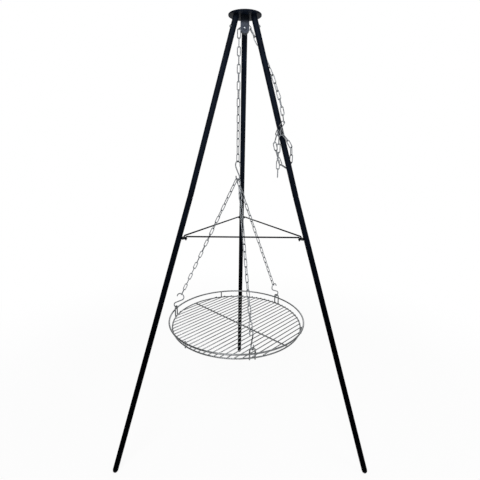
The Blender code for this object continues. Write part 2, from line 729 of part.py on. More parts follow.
def hanging_loop(name, azimuth):
    """Upside-down U between the two rings; an S-hook takes its top."""
    half = LOOP_WIDTH / 2
    low = RING_Z - RING_WIRE_D / 2
    crown = LOOP_TOP_Z - half
    arch = arc(Vector((0.0, 0.0, crown)), half, 0.0, 180.0, 9)
    flat = [Vector((0.0, -point.x, point.z)) for point in arch]
    points = [Vector((0.0, -half, low))] + flat + [Vector((0.0, half, low))]
    wire("hanging_loop_" + name, points, LOOP_WIRE_D, STAINLESS, resolution=1, parent=HANG_AXIS,
         location=grate_centre() + turn(azimuth) * LOOP_R, rotation=(0.0, 0.0, math.radians(azimuth)))


def rim_spacer(name, azimuth):
    """Short upright wire between the two rings."""
    low = RING_Z - RING_WIRE_D / 2
    high = RIM_Z + RIM_WIRE_D / 2
    cylinder("rim_spacer_" + name, LOOP_WIRE_D, high - low, STAINLESS, sides=8, parent=HANG_AXIS,
             location=grate_centre() + turn(azimuth) * WELD_R + Vector((0.0, 0.0, (low + high) / 2)))


# Hanging gear

def main_hook_frame():
    """The main hook hangs plumb under the chain."""
    middle_z = MAIN_HOOK_TOP_Z - HOOK_WIRE_D / 2 - HOOK_TOP_R - HOOK_CENTRES / 2
    return hanging_frame(grate_centre() + Vector((0.0, 0.0, middle_z)), Vector((0.0, 0.0, 1.0)),
                         turn(MAIN_HOOK_AZIMUTH))


def hoist_chain():
    """Taut run from the sheave to the main hook; its two top links are pieces of their own."""
    seat = HOOK_CENTRES / 2 + HOOK_TOP_R - HOOK_SEAT
    end = main_hook_frame() @ Vector((0.0, 0.0, seat))
    joints = straight_joints(SWING_POINT, end)
    broad = Vector((1.0, 0.0, 0.0))
    deep = Vector((0.0, 1.0, 0.0))
    slack = Vector((0.0, 0.0, LINK_BITE + 3 * GAP))
    half_gap = Vector((0.0, 0.0, GAP / 2))
    single_link("top_link", joints[0] + slack, joints[1] - half_gap, broad, SWING_AXES)
    single_link("second_link", joints[1] + half_gap, joints[2] - slack, deep, SWING_AXES)
    chain("hoist_chain", joints[2:], broad, turn(MAIN_HOOK_AZIMUTH + 90.0), parent=HANG_AXIS)


def hangers():
    """Three chains from the main hook, each with an S-hook in its loop on the grate."""
    main = main_hook_frame()
    bend = Vector((0.0, 0.0, -HOOK_CENTRES / 2))
    for name, round_from in HANGERS.items():
        azimuth = GRATE_AZIMUTH + round_from
        angle = math.radians(BEND_PLACES[name] * CHAIN_SPREAD_ANGLE)
        facing = azimuth + HOOK_TWISTS[name]
        held = main @ (bend + Vector((math.sin(angle), 0.0, -math.cos(angle))) * HOOK_BOTTOM_R)
        wire_run = (main.to_3x3() @ Vector((math.cos(angle), 0.0, math.sin(angle)))).normalized()
        loop_top = grate_centre() + turn(azimuth) * LOOP_R + Vector((0.0, 0.0, LOOP_TOP_Z))
        up = (held - loop_top).normalized()
        start = held + up * HOOK_SEAT
        seat = HOOK_BOTTOM_R - HOOK_WIRE_D / 2 - LOOP_WIRE_D / 2 - GAP
        frame = hanging_frame(loop_top + up * (seat + HOOK_CENTRES / 2), up, turn(facing) * -1.0)
        s_hook("grate_hook_" + name, frame)
        end = frame @ Vector((0.0, 0.0, HOOK_CENTRES / 2 + HOOK_TOP_R - HOOK_SEAT))
        chain("hanger_chain_" + name, straight_joints(start, end), (end - start).cross(wire_run),
              turn(facing + 90.0), parent=HANG_AXIS)
        hanging_loop(name, azimuth)
        rim_spacer(name, azimuth + 60.0)


# Free side of the chain

def beside_leg(z, azimuth, distance):
    """Point beside the right leg, seen from its middle."""
    return leg_point(LEGS["right"], z) + turn(azimuth) * distance


def free_chain():
    """From the hoist side over the sheave and down behind the right leg to the peg."""
    crown = Vector((0.0, 0.0, AXLE_Z + CHAIN_OFFSET))
    leaving = Vector((CHAIN_OFFSET, 0.0, AXLE_Z))
    clear = LEG_R + LINK_WIDTH / 2
    drop = AXLE_Z - PEG_Z
    # Share of the drop to the peg, direction from the leg, clearance in links
    stations = ((0.102, 113.0, 0.267), (0.202, 92.0, 0.183), (0.330, 62.0, 0.133), (0.472, 32.0, 0.160),
                (0.642, 12.0, 0.200), (0.767, -2.0, 0.200), (0.858, -22.0, 0.167))
    route = [leaving]
    for share, azimuth, links in stations:
        route.append(beside_leg(AXLE_Z - share * drop, azimuth, clear + links * PITCH))
    route.append(peg_point(PEG_SLOTS[0] + 0.050 * PITCH, 0.467 * PITCH, 0.783 * PITCH))
    route.append(on_peg(PEG_SLOTS[0], 0.467, 0.783))
    joints = [SWING_POINT, crown] + joints_along(route)
    chain("free_chain", joints, Vector((0.0, 1.0, 0.0)), turn(PEG_AZIMUTH + 90.0))


def spare_chain():
    """Spare length: a slack loop round the leg and a straight end, both on the peg."""
    aside = turn(PEG_AZIMUTH + 90.0)
    # Drop below the peg in links, direction from the leg, distance in links
    stations = ((1.933, -22.0, 0.850), (3.000, 12.0, 0.750), (4.100, 50.0, 0.770), (4.900, 100.0, 0.900),
                (4.500, 145.0, 1.030), (3.500, 170.0, 1.100), (2.500, 184.0, 1.130))
    loop = [on_peg(PEG_SLOTS[1], 0.450, -0.783),
            peg_point(PEG_SLOTS[1] + 0.017 * PITCH, 0.450 * PITCH, -0.783 * PITCH)]
    for links_down, azimuth, links in stations:
        loop.append(beside_leg(PEG_Z - links_down * PITCH, azimuth, links * PITCH))
    loop.append(peg_point(PEG_SLOTS[2] - 0.133 * PITCH, -0.560 * PITCH, -1.600 * PITCH))
    loop.append(peg_point(PEG_SLOTS[2] - 0.033 * PITCH, -0.320 * PITCH, -0.830 * PITCH))
    loop.append(on_peg(PEG_SLOTS[2], -0.320, -0.830))
    chain("spare_loop", joints_along(loop), aside, aside)
    top = on_peg(PEG_SLOTS[3], 0.0, -1.0)
    pivot = empty("spare_end_axis", peg_point(PEG_SLOTS[3]), STAND_AXIS)
    hanging = [top - Vector((0.0, 0.0, PITCH * i)) for i in range(SPARE_END_LINKS + 1)]
    chain("spare_end", hanging, aside, parent=pivot)


# Spreader

def lug_hole(azimuth, side):
    """Middle of one of a lug's two holes, at the height of the rods."""
    leg = leg_point(azimuth, SPREADER_Z)
    inward = LEG_R / math.cos(LOWER_LEAN) + LUG_REACH - ROD_D
    return leg - turn(azimuth) * inward + turn(azimuth + 90.0) * (side * LUG_HOLE_PITCH / 2)


def spreader_lug(name, azimuth):
    """Flat tab welded on the inner side of a leg, with two holes."""
    top = SPREADER_Z - ROD_BEND_R - GAP
    hidden = LEG_R * 0.5
    length = LUG_REACH + hidden
    leg = leg_point(azimuth, top)
    middle = leg - turn(azimuth) * (LEG_R / math.cos(LOWER_LEAN) + LUG_REACH - length / 2)
    lug = box("spreader_lug_" + name, (length, LUG_WIDTH, LUG_THICKNESS), BLACK_COAT,
              location=middle - Vector((0.0, 0.0, LUG_THICKNESS / 2)), rotation=(0.0, 0.0, math.radians(azimuth)))
    leg_notch("lug_" + name, azimuth, top, LOWER_LEAN, lug)
    for side in (-1, 1):
        hole = cylinder("lug_hole_%s_%d" % (name, side), ROD_D + 2 * LUG_HOLE_PLAY, 4 * LUG_THICKNESS, BLACK_COAT,
                        sides=16, location=lug_hole(azimuth, side) - Vector((0.0, 0.0, SPREADER_Z - top)))
        combine(lug, hole, "DIFFERENCE")


def spreader_rod(name, from_leg, to_leg):
    """Straight rod whose two ends are bent down through the lugs."""
    start = lug_hole(LEGS[from_leg], 1)
    end = lug_hole(LEGS[to_leg], -1)
    along = (end - start).normalized()
    down = Vector((0.0, 0.0, -1.0))
    points = [start + down * ROD_TIP_LENGTH]
    for step in range(5):
        angle = math.pi / 2 * step / 4
        points.append(start + along * (ROD_BEND_R * (1 - math.cos(angle))) + down * (ROD_BEND_R * (1 - math.sin(angle))))
    for step in range(4, -1, -1):
        angle = math.pi / 2 * step / 4
        points.append(end - along * (ROD_BEND_R * (1 - math.cos(angle))) + down * (ROD_BEND_R * (1 - math.sin(angle))))
    points.append(end + down * ROD_TIP_LENGTH)
    middle = (start + end) / 2
    wire("spreader_rod_" + name, [point - middle for point in points], ROD_D, BLACK_COAT, location=middle)


def build():
    """Make every piece in order."""
    top_plate()
    for name, azimuth in LEGS.items():
        head_stub(name, azimuth)
        upper_leg(name, azimuth)
        lower_leg(name, azimuth)
        lock_screw(name, azimuth)
        foot_plug(name, azimuth)
        spreader_lug(name, azimuth)
    spreader_rod("left", "rear", "left")
    spreader_rod("front", "left", "right")
    spreader_rod("right", "right", "rear")
    pulley_bracket()
    pulley_axle()
    pulley_wheel()
    chain_peg()
    free_chain()
    spare_chain()
    hoist_chain()
    s_hook("main_hook", main_hook_frame())
    hangers()
    grate_rim()
    grate_grid()


build()
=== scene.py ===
"""Looks of a campfire swing grill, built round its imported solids.

Metres, +Z up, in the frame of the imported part. Sizes are given about the stand's
axis, and each finished mesh is moved to where that axis stands in the frame.
"""

import json
import logging
from dataclasses import dataclass
from enum import Enum
from math import acos, atan2, cos, degrees, hypot, pi, radians, sin, sqrt, tan
from typing import Iterable, Sequence

import bmesh
import bpy
from bpy.types import Material, Mesh, Node, NodeSocket, NodeTree, Object
from mathutils import Matrix, Vector

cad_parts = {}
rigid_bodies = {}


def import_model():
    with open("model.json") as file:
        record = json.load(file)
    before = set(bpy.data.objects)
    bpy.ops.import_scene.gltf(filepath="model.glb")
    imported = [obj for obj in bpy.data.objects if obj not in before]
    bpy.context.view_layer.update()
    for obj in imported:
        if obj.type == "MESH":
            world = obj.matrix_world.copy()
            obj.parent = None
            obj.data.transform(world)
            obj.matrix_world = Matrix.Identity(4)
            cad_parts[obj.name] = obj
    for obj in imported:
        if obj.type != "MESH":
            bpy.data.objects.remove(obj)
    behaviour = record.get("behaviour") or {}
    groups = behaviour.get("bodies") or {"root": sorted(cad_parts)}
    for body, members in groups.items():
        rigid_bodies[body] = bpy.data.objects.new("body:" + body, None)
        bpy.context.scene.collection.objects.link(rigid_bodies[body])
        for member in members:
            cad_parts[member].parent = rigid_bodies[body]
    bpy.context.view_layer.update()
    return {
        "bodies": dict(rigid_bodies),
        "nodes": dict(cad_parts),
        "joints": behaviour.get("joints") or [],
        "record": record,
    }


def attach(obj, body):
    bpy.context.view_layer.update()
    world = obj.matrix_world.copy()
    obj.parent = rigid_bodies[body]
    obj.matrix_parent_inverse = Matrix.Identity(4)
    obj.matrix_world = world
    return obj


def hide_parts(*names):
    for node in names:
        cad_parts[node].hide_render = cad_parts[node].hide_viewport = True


LOG = logging.getLogger("campfire_grill")
GAP = 0.0003          # between pieces that touch
LINK_BITE = 0.0004    # allowance where a link bears on what it holds
CAP_SHARE = 0.35      # how far a cut wire's end is domed, in wire radii
CROWN = 0.65          # share of a screw's or bolt's head that is domed
MERGE = 0.000005      # vertices nearer than this are one
UP = Vector((0.0, 0.0, 1.0))
BEARINGS = (0.0, 120.0, 236.0)   # of the grate's three loops, round from the first, in degrees
WHITE = (1.0, 1.0, 1.0, 1.0)
NOISE_SPAN = (0.30, 0.70)   # most values of a noise lie between these
RUN = "wire_run"      # attribute of wire: metres along, and place across it

Pair = tuple[float, float]


class Slot(Enum):
    """Material slots of the record."""

    BLACK_COAT = "black_powder_coat"
    GREY_COAT = "grey_powder_coat"
    ZINC = "zinc_plated_steel"
    STAINLESS = "stainless_wire"
    PLASTIC = "black_plastic"


class Side(Enum):
    """The three legs and their directions from the stand's axis, in degrees."""

    REAR = 90.0
    LEFT = 210.0
    RIGHT = 330.0


def turn(azimuth: float, out: float = 1.0, aside: float = 0.0, up: float = 0.0) -> Vector:
    """A way out along an azimuth in degrees, to the left of it and up."""
    x, y = cos(radians(azimuth)), sin(radians(azimuth))
    return Vector((x * out - y * aside, y * out + x * aside, up))


def bow(centre: Pair, radii: Pair, first: float, last: float, steps: int) -> list[Pair]:
    """Points on an ellipse, from one angle in degrees to another, both ends included."""
    angles = [radians(first + (last - first) * i / steps) for i in range(steps + 1)]
    return [(centre[0] + radii[0] * cos(a), centre[1] + radii[1] * sin(a)) for a in angles]


def arc(centre: Vector, radius: float, first: float, last: float, steps: int) -> list[Vector]:
    """Points on an arc in the XZ plane, angles in degrees from +X towards +Z."""
    return [centre + Vector((x, 0.0, z)) for x, z in bow((0.0, 0.0), (radius, radius), first, last, steps)]


def level_ring(centre: Vector, radius: float, count: int) -> list[Vector]:
    """Points round a level circle."""
    return [centre + turn(360.0 * i / count, radius) for i in range(count)]


def stood(spot: Vector, azimuth: float = 0.0, tilt: float = 0.0) -> Matrix:
    """Frame at a spot, with its X to an azimuth in degrees and its Z tilted that way, in radians."""
    return (Matrix.Translation(spot) @ Matrix.Rotation(radians(azimuth), 4, "Z")
            @ Matrix.Rotation(tilt, 4, "Y"))


def linear(hex_colour: str) -> tuple[float, float, float, float]:
    """Turns an sRGB hex colour to the linear RGBA that shaders take.

    Args:
        hex_colour: six hex digits after a #.

    Returns:
        Red, green and blue, and an alpha of 1.
    """
    parts = [int(hex_colour[i:i + 2], 16) / 255 for i in (1, 3, 5)]
    lit = [part / 12.92 if part <= 0.04045 else ((part + 0.055) / 1.055) ** 2.4 for part in parts]
    return (*lit, 1.0)


def feed(tree: NodeTree, node: Node, links: dict) -> None:
    """Gives a node's inputs, by name or number, a socket or a value.

    Args:
        tree: the node's tree.
        node: the node that is fed.
        links: input socket by name or number, with the socket or value that feeds it.
    """
    for socket, value in links.items():
        if isinstance(value, NodeSocket):
            tree.links.new(value, node.inputs[socket])
        else:
            node.inputs[socket].default_value = value


def add_node(tree: NodeTree, kind: str, links: dict | None = None, **settings) -> Node:
    """Adds a node with its settings and links.

    Args:
        tree: node tree that takes the node.
        kind: the node's type.
        links: input socket by name or number, with the socket or value that feeds it.
        **settings: the node's own properties.

    Returns:
        The new node.
    """
    made = tree.nodes.new(kind)
    for name, value in settings.items():
        setattr(made, name, value)
    feed(tree, made, links or {})
    return made


def outlet(tree: NodeTree, kind: str, links: dict | None = None, out: int | str = 0, **settings
           ) -> NodeSocket:
    """Adds a node, as add_node does, and returns its output of this number or name."""
    return add_node(tree, kind, links, **settings).outputs[out]


def computed(tree: NodeTree, operation: str, *values: NodeSocket | float) -> NodeSocket:
    """Result of a math node on these values."""
    return outlet(tree, "ShaderNodeMath", dict(enumerate(values)), operation=operation)


def scaled(tree: NodeTree, vector: NodeSocket, share: NodeSocket) -> NodeSocket:
    """A colour or a vector times a number."""
    return outlet(tree, "ShaderNodeVectorMath", {0: vector, "Scale": share}, operation="SCALE")


def ranged(tree: NodeTree, value: NodeSocket, source: Pair, target: Pair, kind: str = "SMOOTHSTEP"
           ) -> NodeSocket:
    """A value taken from one range to another."""
    limits = dict(zip(("From Min", "From Max", "To Min", "To Max"), source + target))
    return outlet(tree, "ShaderNodeMapRange", {"Value": value} | limits, interpolation_type=kind)


@dataclass(frozen=True)
class Finish:
    """A finish: two close colours in soft patches over a fine grain, and a painted shade by height where one
    is given.
    """

    slot: Slot
    dark: str
    light: str
    metallic: float
    gloss: Pair                  # lowest and highest roughness
    patch_mm: float              # size of the colour's patches
    grain_mm: float              # size of the bump's grain
    grain_depth_mm: float
    grain_stretch: float = 1.0   # how much longer the grain is along the wire
    sheen: float = 0.5           # specular level; 0.5 is an uncoated plastic's
    fade: Pair = (1.0, 1.0)      # painted shade: share of colour and sheen left low down and high up
    painted_shade_heights: Pair = (0.60, 1.45)   # where the painted shade ends and begins, in metres

    def build(self) -> Material:
        """Makes the node material.

        Returns:
            The material of this finish.
        """
        made = bpy.data.materials.new(self.slot.value + "_finish")
        made.use_nodes = True
        tree = made.node_tree
        place = self.coordinates(tree)
        patches = outlet(tree, "ShaderNodeTexNoise", {"Vector": place, "Scale": 1000 / self.patch_mm,
                                                      "Detail": 3.0, "Roughness": 0.55}, "Fac")
        tint = add_node(tree, "ShaderNodeValToRGB", {"Fac": patches})
        for stop, position, shade in zip(tint.color_ramp.elements, NOISE_SPAN, (self.dark, self.light)):
            stop.position, stop.color = position, linear(shade)
        colour, sheen = tint.outputs["Color"], self.sheen
        # Painted shade: colour and sheen are scaled down with height, darker where the coat would lie in
        # shade
        if self.fade[0] != self.fade[1]:
            height = outlet(tree, "ShaderNodeSeparateXYZ", {0: self.coordinates(tree)}, "Z")
            share = ranged(tree, height, self.painted_shade_heights, self.fade, "LINEAR")
            colour, sheen = scaled(tree, colour, share), computed(tree, "MULTIPLY", share, self.sheen)
        grain = outlet(tree, "ShaderNodeTexNoise", {"Vector": self.stretched(tree, place),
                                                    "Scale": 1000 / self.grain_mm, "Detail": 2.0}, "Fac")
        bump = outlet(tree, "ShaderNodeBump", {"Height": grain, "Strength": 1.0,
                                               "Distance": self.grain_depth_mm / 1000})
        feed(tree, tree.nodes["Principled BSDF"], {
            "Base Color": colour, "Metallic": self.metallic, "Specular IOR Level": sheen, "Normal": bump,
            "Roughness": ranged(tree, grain, NOISE_SPAN, self.gloss, "LINEAR")})
        return made

    def coordinates(self, tree: NodeTree) -> NodeSocket:
        """Coordinates of the pattern, in metres."""
        return outlet(tree, "ShaderNodeTexCoord", out="Object")

    def stretched(self, tree: NodeTree, place: NodeSocket) -> NodeSocket:
        """Coordinates of the grain, drawn out along the first axis.

        Args:
            tree: the material's tree.
            place: coordinates of the pattern.

        Returns:
            The grain's coordinates.
        """
        if self.grain_stretch == 1.0:
            return place
        stretch = (1 / self.grain_stretch, 1.0, 1.0)
        return outlet(tree, "ShaderNodeMapping", {"Vector": place, "Scale": stretch})


@dataclass(frozen=True)
class DrawnWire(Finish):
    """Wire pulled through a die: its scratches follow its run, which each piece carries as an attribute."""

    def coordinates(self, tree: NodeTree) -> NodeSocket:
        """Run along the wire, and place across it, in metres."""
        return outlet(tree, "ShaderNodeAttribute", out="Vector", attribute_name=RUN)


FINISHES = (
    # Baked polyester powder: satin blue-black with a peel that breaks up highlights; colour and sheen are cut
    # lower down the legs, a painted shade for the less light that reaches them
    Finish(Slot.BLACK_COAT, "#070C15", "#0E1623", 0.0, (0.46, 0.56), 60.0, 2.2, 0.035, sheen=0.045,
           fade=(0.08, 0.95)),
    # The same powder in slate grey, on the pulley's strap; its top next to the plate is darkened, a painted
    # shadow of the plate
    Finish(Slot.GREY_COAT, "#3C424E", "#49505D", 0.0, (0.34, 0.44), 25.0, 2.0, 0.03, sheen=0.10,
           fade=(1.0, 0.18), painted_shade_heights=(1.742, 1.754)),
    # Bright zinc: a mirror-like grey metal, a little cloudy from the bath
    Finish(Slot.ZINC, "#6F7377", "#8F9397", 1.0, (0.16, 0.28), 9.0, 1.4, 0.006),
    # Half-bright stainless wire with lengthwise die marks, drawn coarser than they are so that they show
    DrawnWire(Slot.STAINLESS, "#6A6C6E", "#828485", 1.0, (0.24, 0.36), 30.0, 0.7, 0.005, 25.0),
    # Moulded polyethylene: matt black with the fine texture of the mould
    Finish(Slot.PLASTIC, "#070708", "#0D0D0E", 0.0, (0.50, 0.62), 20.0, 0.9, 0.02, sheen=0.06),
)


class Workshop:
    """Keeps the materials and turns meshes into finished pieces of the object."""

    def __init__(self, axis: Vector) -> None:
        """Takes the place of the stand's axis in the frame.

        Args:
            axis: where the stand's axis stands in the frame.
        """
        self.axis = axis
        self.materials = {finish.slot: finish.build() for finish in FINISHES}
        self.collection = bpy.data.collections.new("campfire_grill_looks")
        bpy.context.scene.collection.children.link(self.collection)

    def finish(self, name: str, mesh: Mesh, slot: Slot, node: str | None = None, body: str = "stand") -> None:
        """Makes a finished piece that stands at its place and rides on its body.

        Args:
            name: name of the piece.
            mesh: its mesh about the stand's axis.
            slot: the record's material slot.
            node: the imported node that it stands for, if there is one.
            body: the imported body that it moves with.
        """
        mesh.name = name
        mesh.transform(Matrix.Translation(self.axis))
        mesh.materials.clear()
        mesh.materials.append(self.materials[slot])
        made = bpy.data.objects.new(name, mesh)
        self.collection.objects.link(made)
        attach(made, body)
        if node:
            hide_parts(node)
        LOG.info("%s: %d faces on %s", name, len(mesh.polygons), body)

    def repaint(self, node: Object, slot: Slot) -> None:
        """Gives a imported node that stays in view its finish."""
        node.data.materials.clear()
        node.data.materials.append(self.materials[slot])


def staged(name: str, data: bpy.types.ID) -> Object:
    """New object of the scene that holds this data.

    Args:
        name: the object's name.
        data: its mesh, curve, camera or light.

    Returns:
        The object.
    """
    made = bpy.data.objects.new(name, data)
    bpy.context.scene.collection.objects.link(made)
    return made


def baked(made: Object, *tools: Object) -> Mesh:
    """The mesh that an object's modifiers make; the object and its tools are removed.

    Args:
        made: the object.
        *tools: objects that its modifiers use.

    Returns:
        The plain mesh.
    """
    mesh = bpy.data.meshes.new_from_object(made.evaluated_get(bpy.context.evaluated_depsgraph_get()))
    for old in (made, *tools):
        bpy.data.objects.remove(old)
    return mesh


def moved(mesh: Mesh, frame: Matrix) -> Mesh:
    """The mesh, taken to a frame."""
    mesh.transform(frame)
    return mesh


def mesh_of(shape: bmesh.types.BMesh, sharp_degrees: float = 40.0) -> Mesh:
    """Turns a bmesh into a smooth-shaded mesh with its sharp edges marked.

    Args:
        shape: the bmesh, which is freed.
        sharp_degrees: edges steeper than this stay sharp.

    Returns:
        The mesh.
    """
    bmesh.ops.remove_doubles(shape, verts=shape.verts, dist=MERGE)
    bmesh.ops.recalc_face_normals(shape, faces=shape.faces)
    mesh = bpy.data.meshes.new("piece")
    shape.to_mesh(mesh)
    shape.free()
    mesh.shade_smooth()
    mesh.set_sharp_from_angle(angle=radians(sharp_degrees))
    return mesh


def points_of(points: Sequence[Vector]) -> Mesh:
    """Mesh of loose points, for a tree to set things on.

    Args:
        points: where the points are.

    Returns:
        The mesh, without edges or faces.
    """
    mesh = bpy.data.meshes.new("points")
    mesh.from_pydata(points, [], [])
    return mesh


def box(frame: Matrix, size: tuple[float, float, float]) -> Mesh:
    """Cuboid about the middle of a frame.

    Args:
        frame: where its middle is and how it stands.
        size: its lengths along the frame's axes.

    Returns:
        The mesh.
    """
    shape = bmesh.new()
    bmesh.ops.create_cube(shape, size=1.0, matrix=frame @ Matrix.Diagonal((*size, 1.0)))
    return mesh_of(shape)


def joined(meshes: Sequence[Mesh]) -> Mesh:
    """Several meshes as one; their attributes and sharp edges are kept.

    Args:
        meshes: the meshes, which are used up.

    Returns:
        The one mesh.
    """
    objects = [staged("part", mesh) for mesh in meshes]
    first = objects[0]
    with bpy.context.temp_override(active_object=first, object=first, selected_objects=objects,
                                   selected_editable_objects=objects):
        bpy.ops.object.join()
    mesh = first.data
    bpy.data.objects.remove(first)
    return mesh


def carved(mesh: Mesh, cutter: Mesh) -> Mesh:
    """The mesh with the cutter's shape taken out of it.

    Args:
        mesh: what is cut.
        cutter: the shape that is taken out.

    Returns:
        The cut mesh.
    """
    body, tool = staged("body", mesh), staged("tool", cutter)
    step = body.modifiers.new("cut", "BOOLEAN")
    step.operation, step.solver, step.object = "DIFFERENCE", "EXACT", tool
    result = baked(body, tool)
    result.shade_smooth()
    result.set_sharp_from_angle(angle=radians(35.0))
    return result


def skin(shape: bmesh.types.BMesh, rows: list[list[bmesh.types.BMVert]], closed: bool = False) -> None:
    """Fills in faces from row to row; a pole is a row of the same vertex.

    Args:
        shape: the bmesh that takes the faces.
        rows: rows of as many vertices each, in order.
        closed: whether the last row meets the first.
    """
    for first, second in list(zip(rows, rows[1:])) + ([(rows[-1], rows[0])] if closed else []):
        for k, start in enumerate(first):
            j = (k + 1) % len(first)
            corners = list(dict.fromkeys((start, first[j], second[j], second[k])))
            if len(corners) > 2:
                shape.faces.new(corners)


def lathed(profile: Sequence[Pair], steps: int, closed: bool = False, sharp_degrees: float = 40.0) -> Mesh:
    """Turns a profile of (radius, height) pairs once round Z.

    Args:
        profile: points from one end to the other; a radius of 0 is a pole.
        steps: faces round the axis.
        closed: whether the profile runs back to its first point, as a tube's does.
        sharp_degrees: edges steeper than this stay sharp.

    Returns:
        The closed mesh.
    """
    shape = bmesh.new()
    rows = []
    for radius, height in profile:
        ring = level_ring(UP * height, radius, steps if radius else 1)
        rows.append([shape.verts.new(point) for point in ring] * (1 if radius else steps))
    skin(shape, rows, closed)
    return mesh_of(shape, sharp_degrees)


def swept(points: Sequence[Vector], wire_d: float, sides: int = 16, closed: bool = False) -> Mesh:
    """Sweeps round wire along points, with domed ends, and stores its run.

    Args:
        points: the wire's middle line.
        wire_d: diameter of the wire.
        sides: faces round the wire.
        closed: whether the line runs back to its first point.

    Returns:
        The mesh, with the attribute wire_run: metres along, and place across the wire.
    """
    radius, count = wire_d / 2, len(points)
    tangents = []
    for i in range(count):
        before = points[i - 1] if closed or i > 0 else points[0]
        after = points[(i + 1) % count] if closed or i < count - 1 else points[-1]
        tangents.append((after - before).normalized())
    normal = tangents[0].orthogonal().normalized()
    if abs(tangents[0].z) < 0.9:   # wire that isn't steep keeps its first row upright
        normal = (UP - tangents[0] * tangents[0].z).normalized()
    stations, along = [], 0.0
    for i, (point, way) in enumerate(zip(points, tangents)):
        if i > 0:
            along += (point - points[i - 1]).length
        normal = (normal - way * normal.dot(way)).normalized()
        stations.append((point, normal.copy(), way.cross(normal), radius, along))
    if not closed:
        caps = []
        for sign, end in ((-1, 0), (1, -1)):
            point, across, through, _, at = stations[end]
            caps.append([(point + tangents[end] * (sign * reach), across, through, ring, at + sign * reach)
                         for ring, reach in bow((0.0, 0.0), (radius, radius * CAP_SHARE), 30.0, 90.0, 2)])
        stations = caps[0][::-1] + stations + caps[1]
    shape = bmesh.new()
    run = shape.verts.layers.float_vector.new(RUN)
    circle = bow((0.0, 0.0), (1.0, 1.0), 0.0, 360.0, sides)[:-1]
    rows = []
    for centre, across, through, ring, at in stations:
        pole = ring < MERGE
        row = []
        for x, y in circle[:1] if pole else circle:
            row.append(shape.verts.new(centre + (across * x + through * y) * ring))
            row[-1][run] = Vector((at, ring * x, ring * y))
        rows.append(row * sides if pole else row)
    skin(shape, rows, closed)
    return mesh_of(shape, 50.0)


def cut_plate(outlines: Sequence[Sequence[Pair]], thickness: float, edge: float) -> Mesh:
    """Flat plate about z = 0 with softened edges.

    Args:
        outlines: its outline, then its holes, each a list of (x, y).
        thickness: of the sheet.
        edge: width of the softened edge.

    Returns:
        The closed mesh.
    """
    curve = bpy.data.curves.new("outline", "CURVE")
    curve.dimensions = "2D"
    curve.fill_mode = "BOTH"
    curve.extrude = thickness / 2 - edge
    curve.bevel_depth = edge
    curve.bevel_resolution = 1
    curve.offset = -edge
    for outline in outlines:
        spline = curve.splines.new("POLY")
        spline.points.add(len(outline) - 1)
        for point, (x, y) in zip(spline.points, outline):
            point.co = (x, y, 0.0, 1.0)
        spline.use_cyclic_u = True
    shape = bmesh.new()
    shape.from_mesh(baked(staged("outline", curve)))
    return mesh_of(shape, 30.0)


def evaluated(tree: NodeTree, base: Mesh, values: dict[str, float] | None = None) -> Mesh:
    """Runs a Geometry Nodes tree on a mesh and returns the result as a plain mesh.

    Args:
        tree: the node tree.
        base: mesh that the tree starts from.
        values: those of the tree's inputs, by name, that differ from their defaults.

    Returns:
        The mesh that the tree makes.
    """
    carrier = staged("carrier", base)
    modifier = carrier.modifiers.new("build", "NODES")
    modifier.node_group = tree
    for item in tree.interface.items_tree:
        if item.name in (values or {}):
            modifier[item.identifier] = values[item.name]
    return baked(carrier)


def tree_with_inputs(name: str, sizes: dict[str, float], material: Material
                     ) -> tuple[NodeTree, dict[str, NodeSocket]]:
    """Starts a Geometry Nodes tree.

    Args:
        name: the tree's name.
        sizes: its sizes by name, with their defaults.
        material: default of its Material input.

    Returns:
        The tree, and the sockets of its inputs by name.
    """
    tree = bpy.data.node_groups.new(name, "GeometryNodeTree")
    tree.interface.new_socket(name="Geometry", in_out="INPUT", socket_type="NodeSocketGeometry")
    for label, value in (sizes | {"Material": material}).items():
        kind = "Material" if value is material else "Float"
        socket = tree.interface.new_socket(name=label, in_out="INPUT", socket_type="NodeSocket" + kind)
        socket.default_value = value
    tree.interface.new_socket(name="Geometry", in_out="OUTPUT", socket_type="NodeSocketGeometry")
    start = add_node(tree, "NodeGroupInput")
    return tree, {label: start.outputs[label] for label in ("Geometry", *sizes, "Material")}


def close_tree(tree: NodeTree, given: dict[str, NodeSocket], geometry: NodeSocket) -> NodeTree:
    """Ends a tree in Realize Instances and Set Material.

    Args:
        tree: the tree to end.
        given: the sockets of its inputs by name.
        geometry: what it has made.

    Returns:
        The finished tree.
    """
    real = outlet(tree, "GeometryNodeRealizeInstances", {"Geometry": geometry})
    dressed = outlet(tree, "GeometryNodeSetMaterial", {"Geometry": real, "Material": given["Material"]})
    add_node(tree, "NodeGroupOutput", {"Geometry": dressed})
    return tree


def instanced(tree: NodeTree, points: NodeSocket, instance: NodeSocket, **placing: NodeSocket | tuple
              ) -> NodeSocket:
    """Sets an instance on each point, with its Rotation and Scale."""
    return outlet(tree, "GeometryNodeInstanceOnPoints", {"Points": points, "Instance": instance} | placing)


def with_run(tree: NodeTree, geometry: NodeSocket) -> NodeSocket:
    """Makes instances real and stores each point's place as its run along the wire.

    Args:
        tree: node tree that takes the nodes.
        geometry: the instances.

    Returns:
        The real geometry, with the attribute wire_run.
    """
    real = outlet(tree, "GeometryNodeRealizeInstances", {"Geometry": geometry})
    spot = outlet(tree, "GeometryNodeInputPosition")
    return outlet(tree, "GeometryNodeStoreNamedAttribute", {"Geometry": real, "Name": RUN, "Value": spot},
                  data_type="FLOAT_VECTOR", domain="POINT")


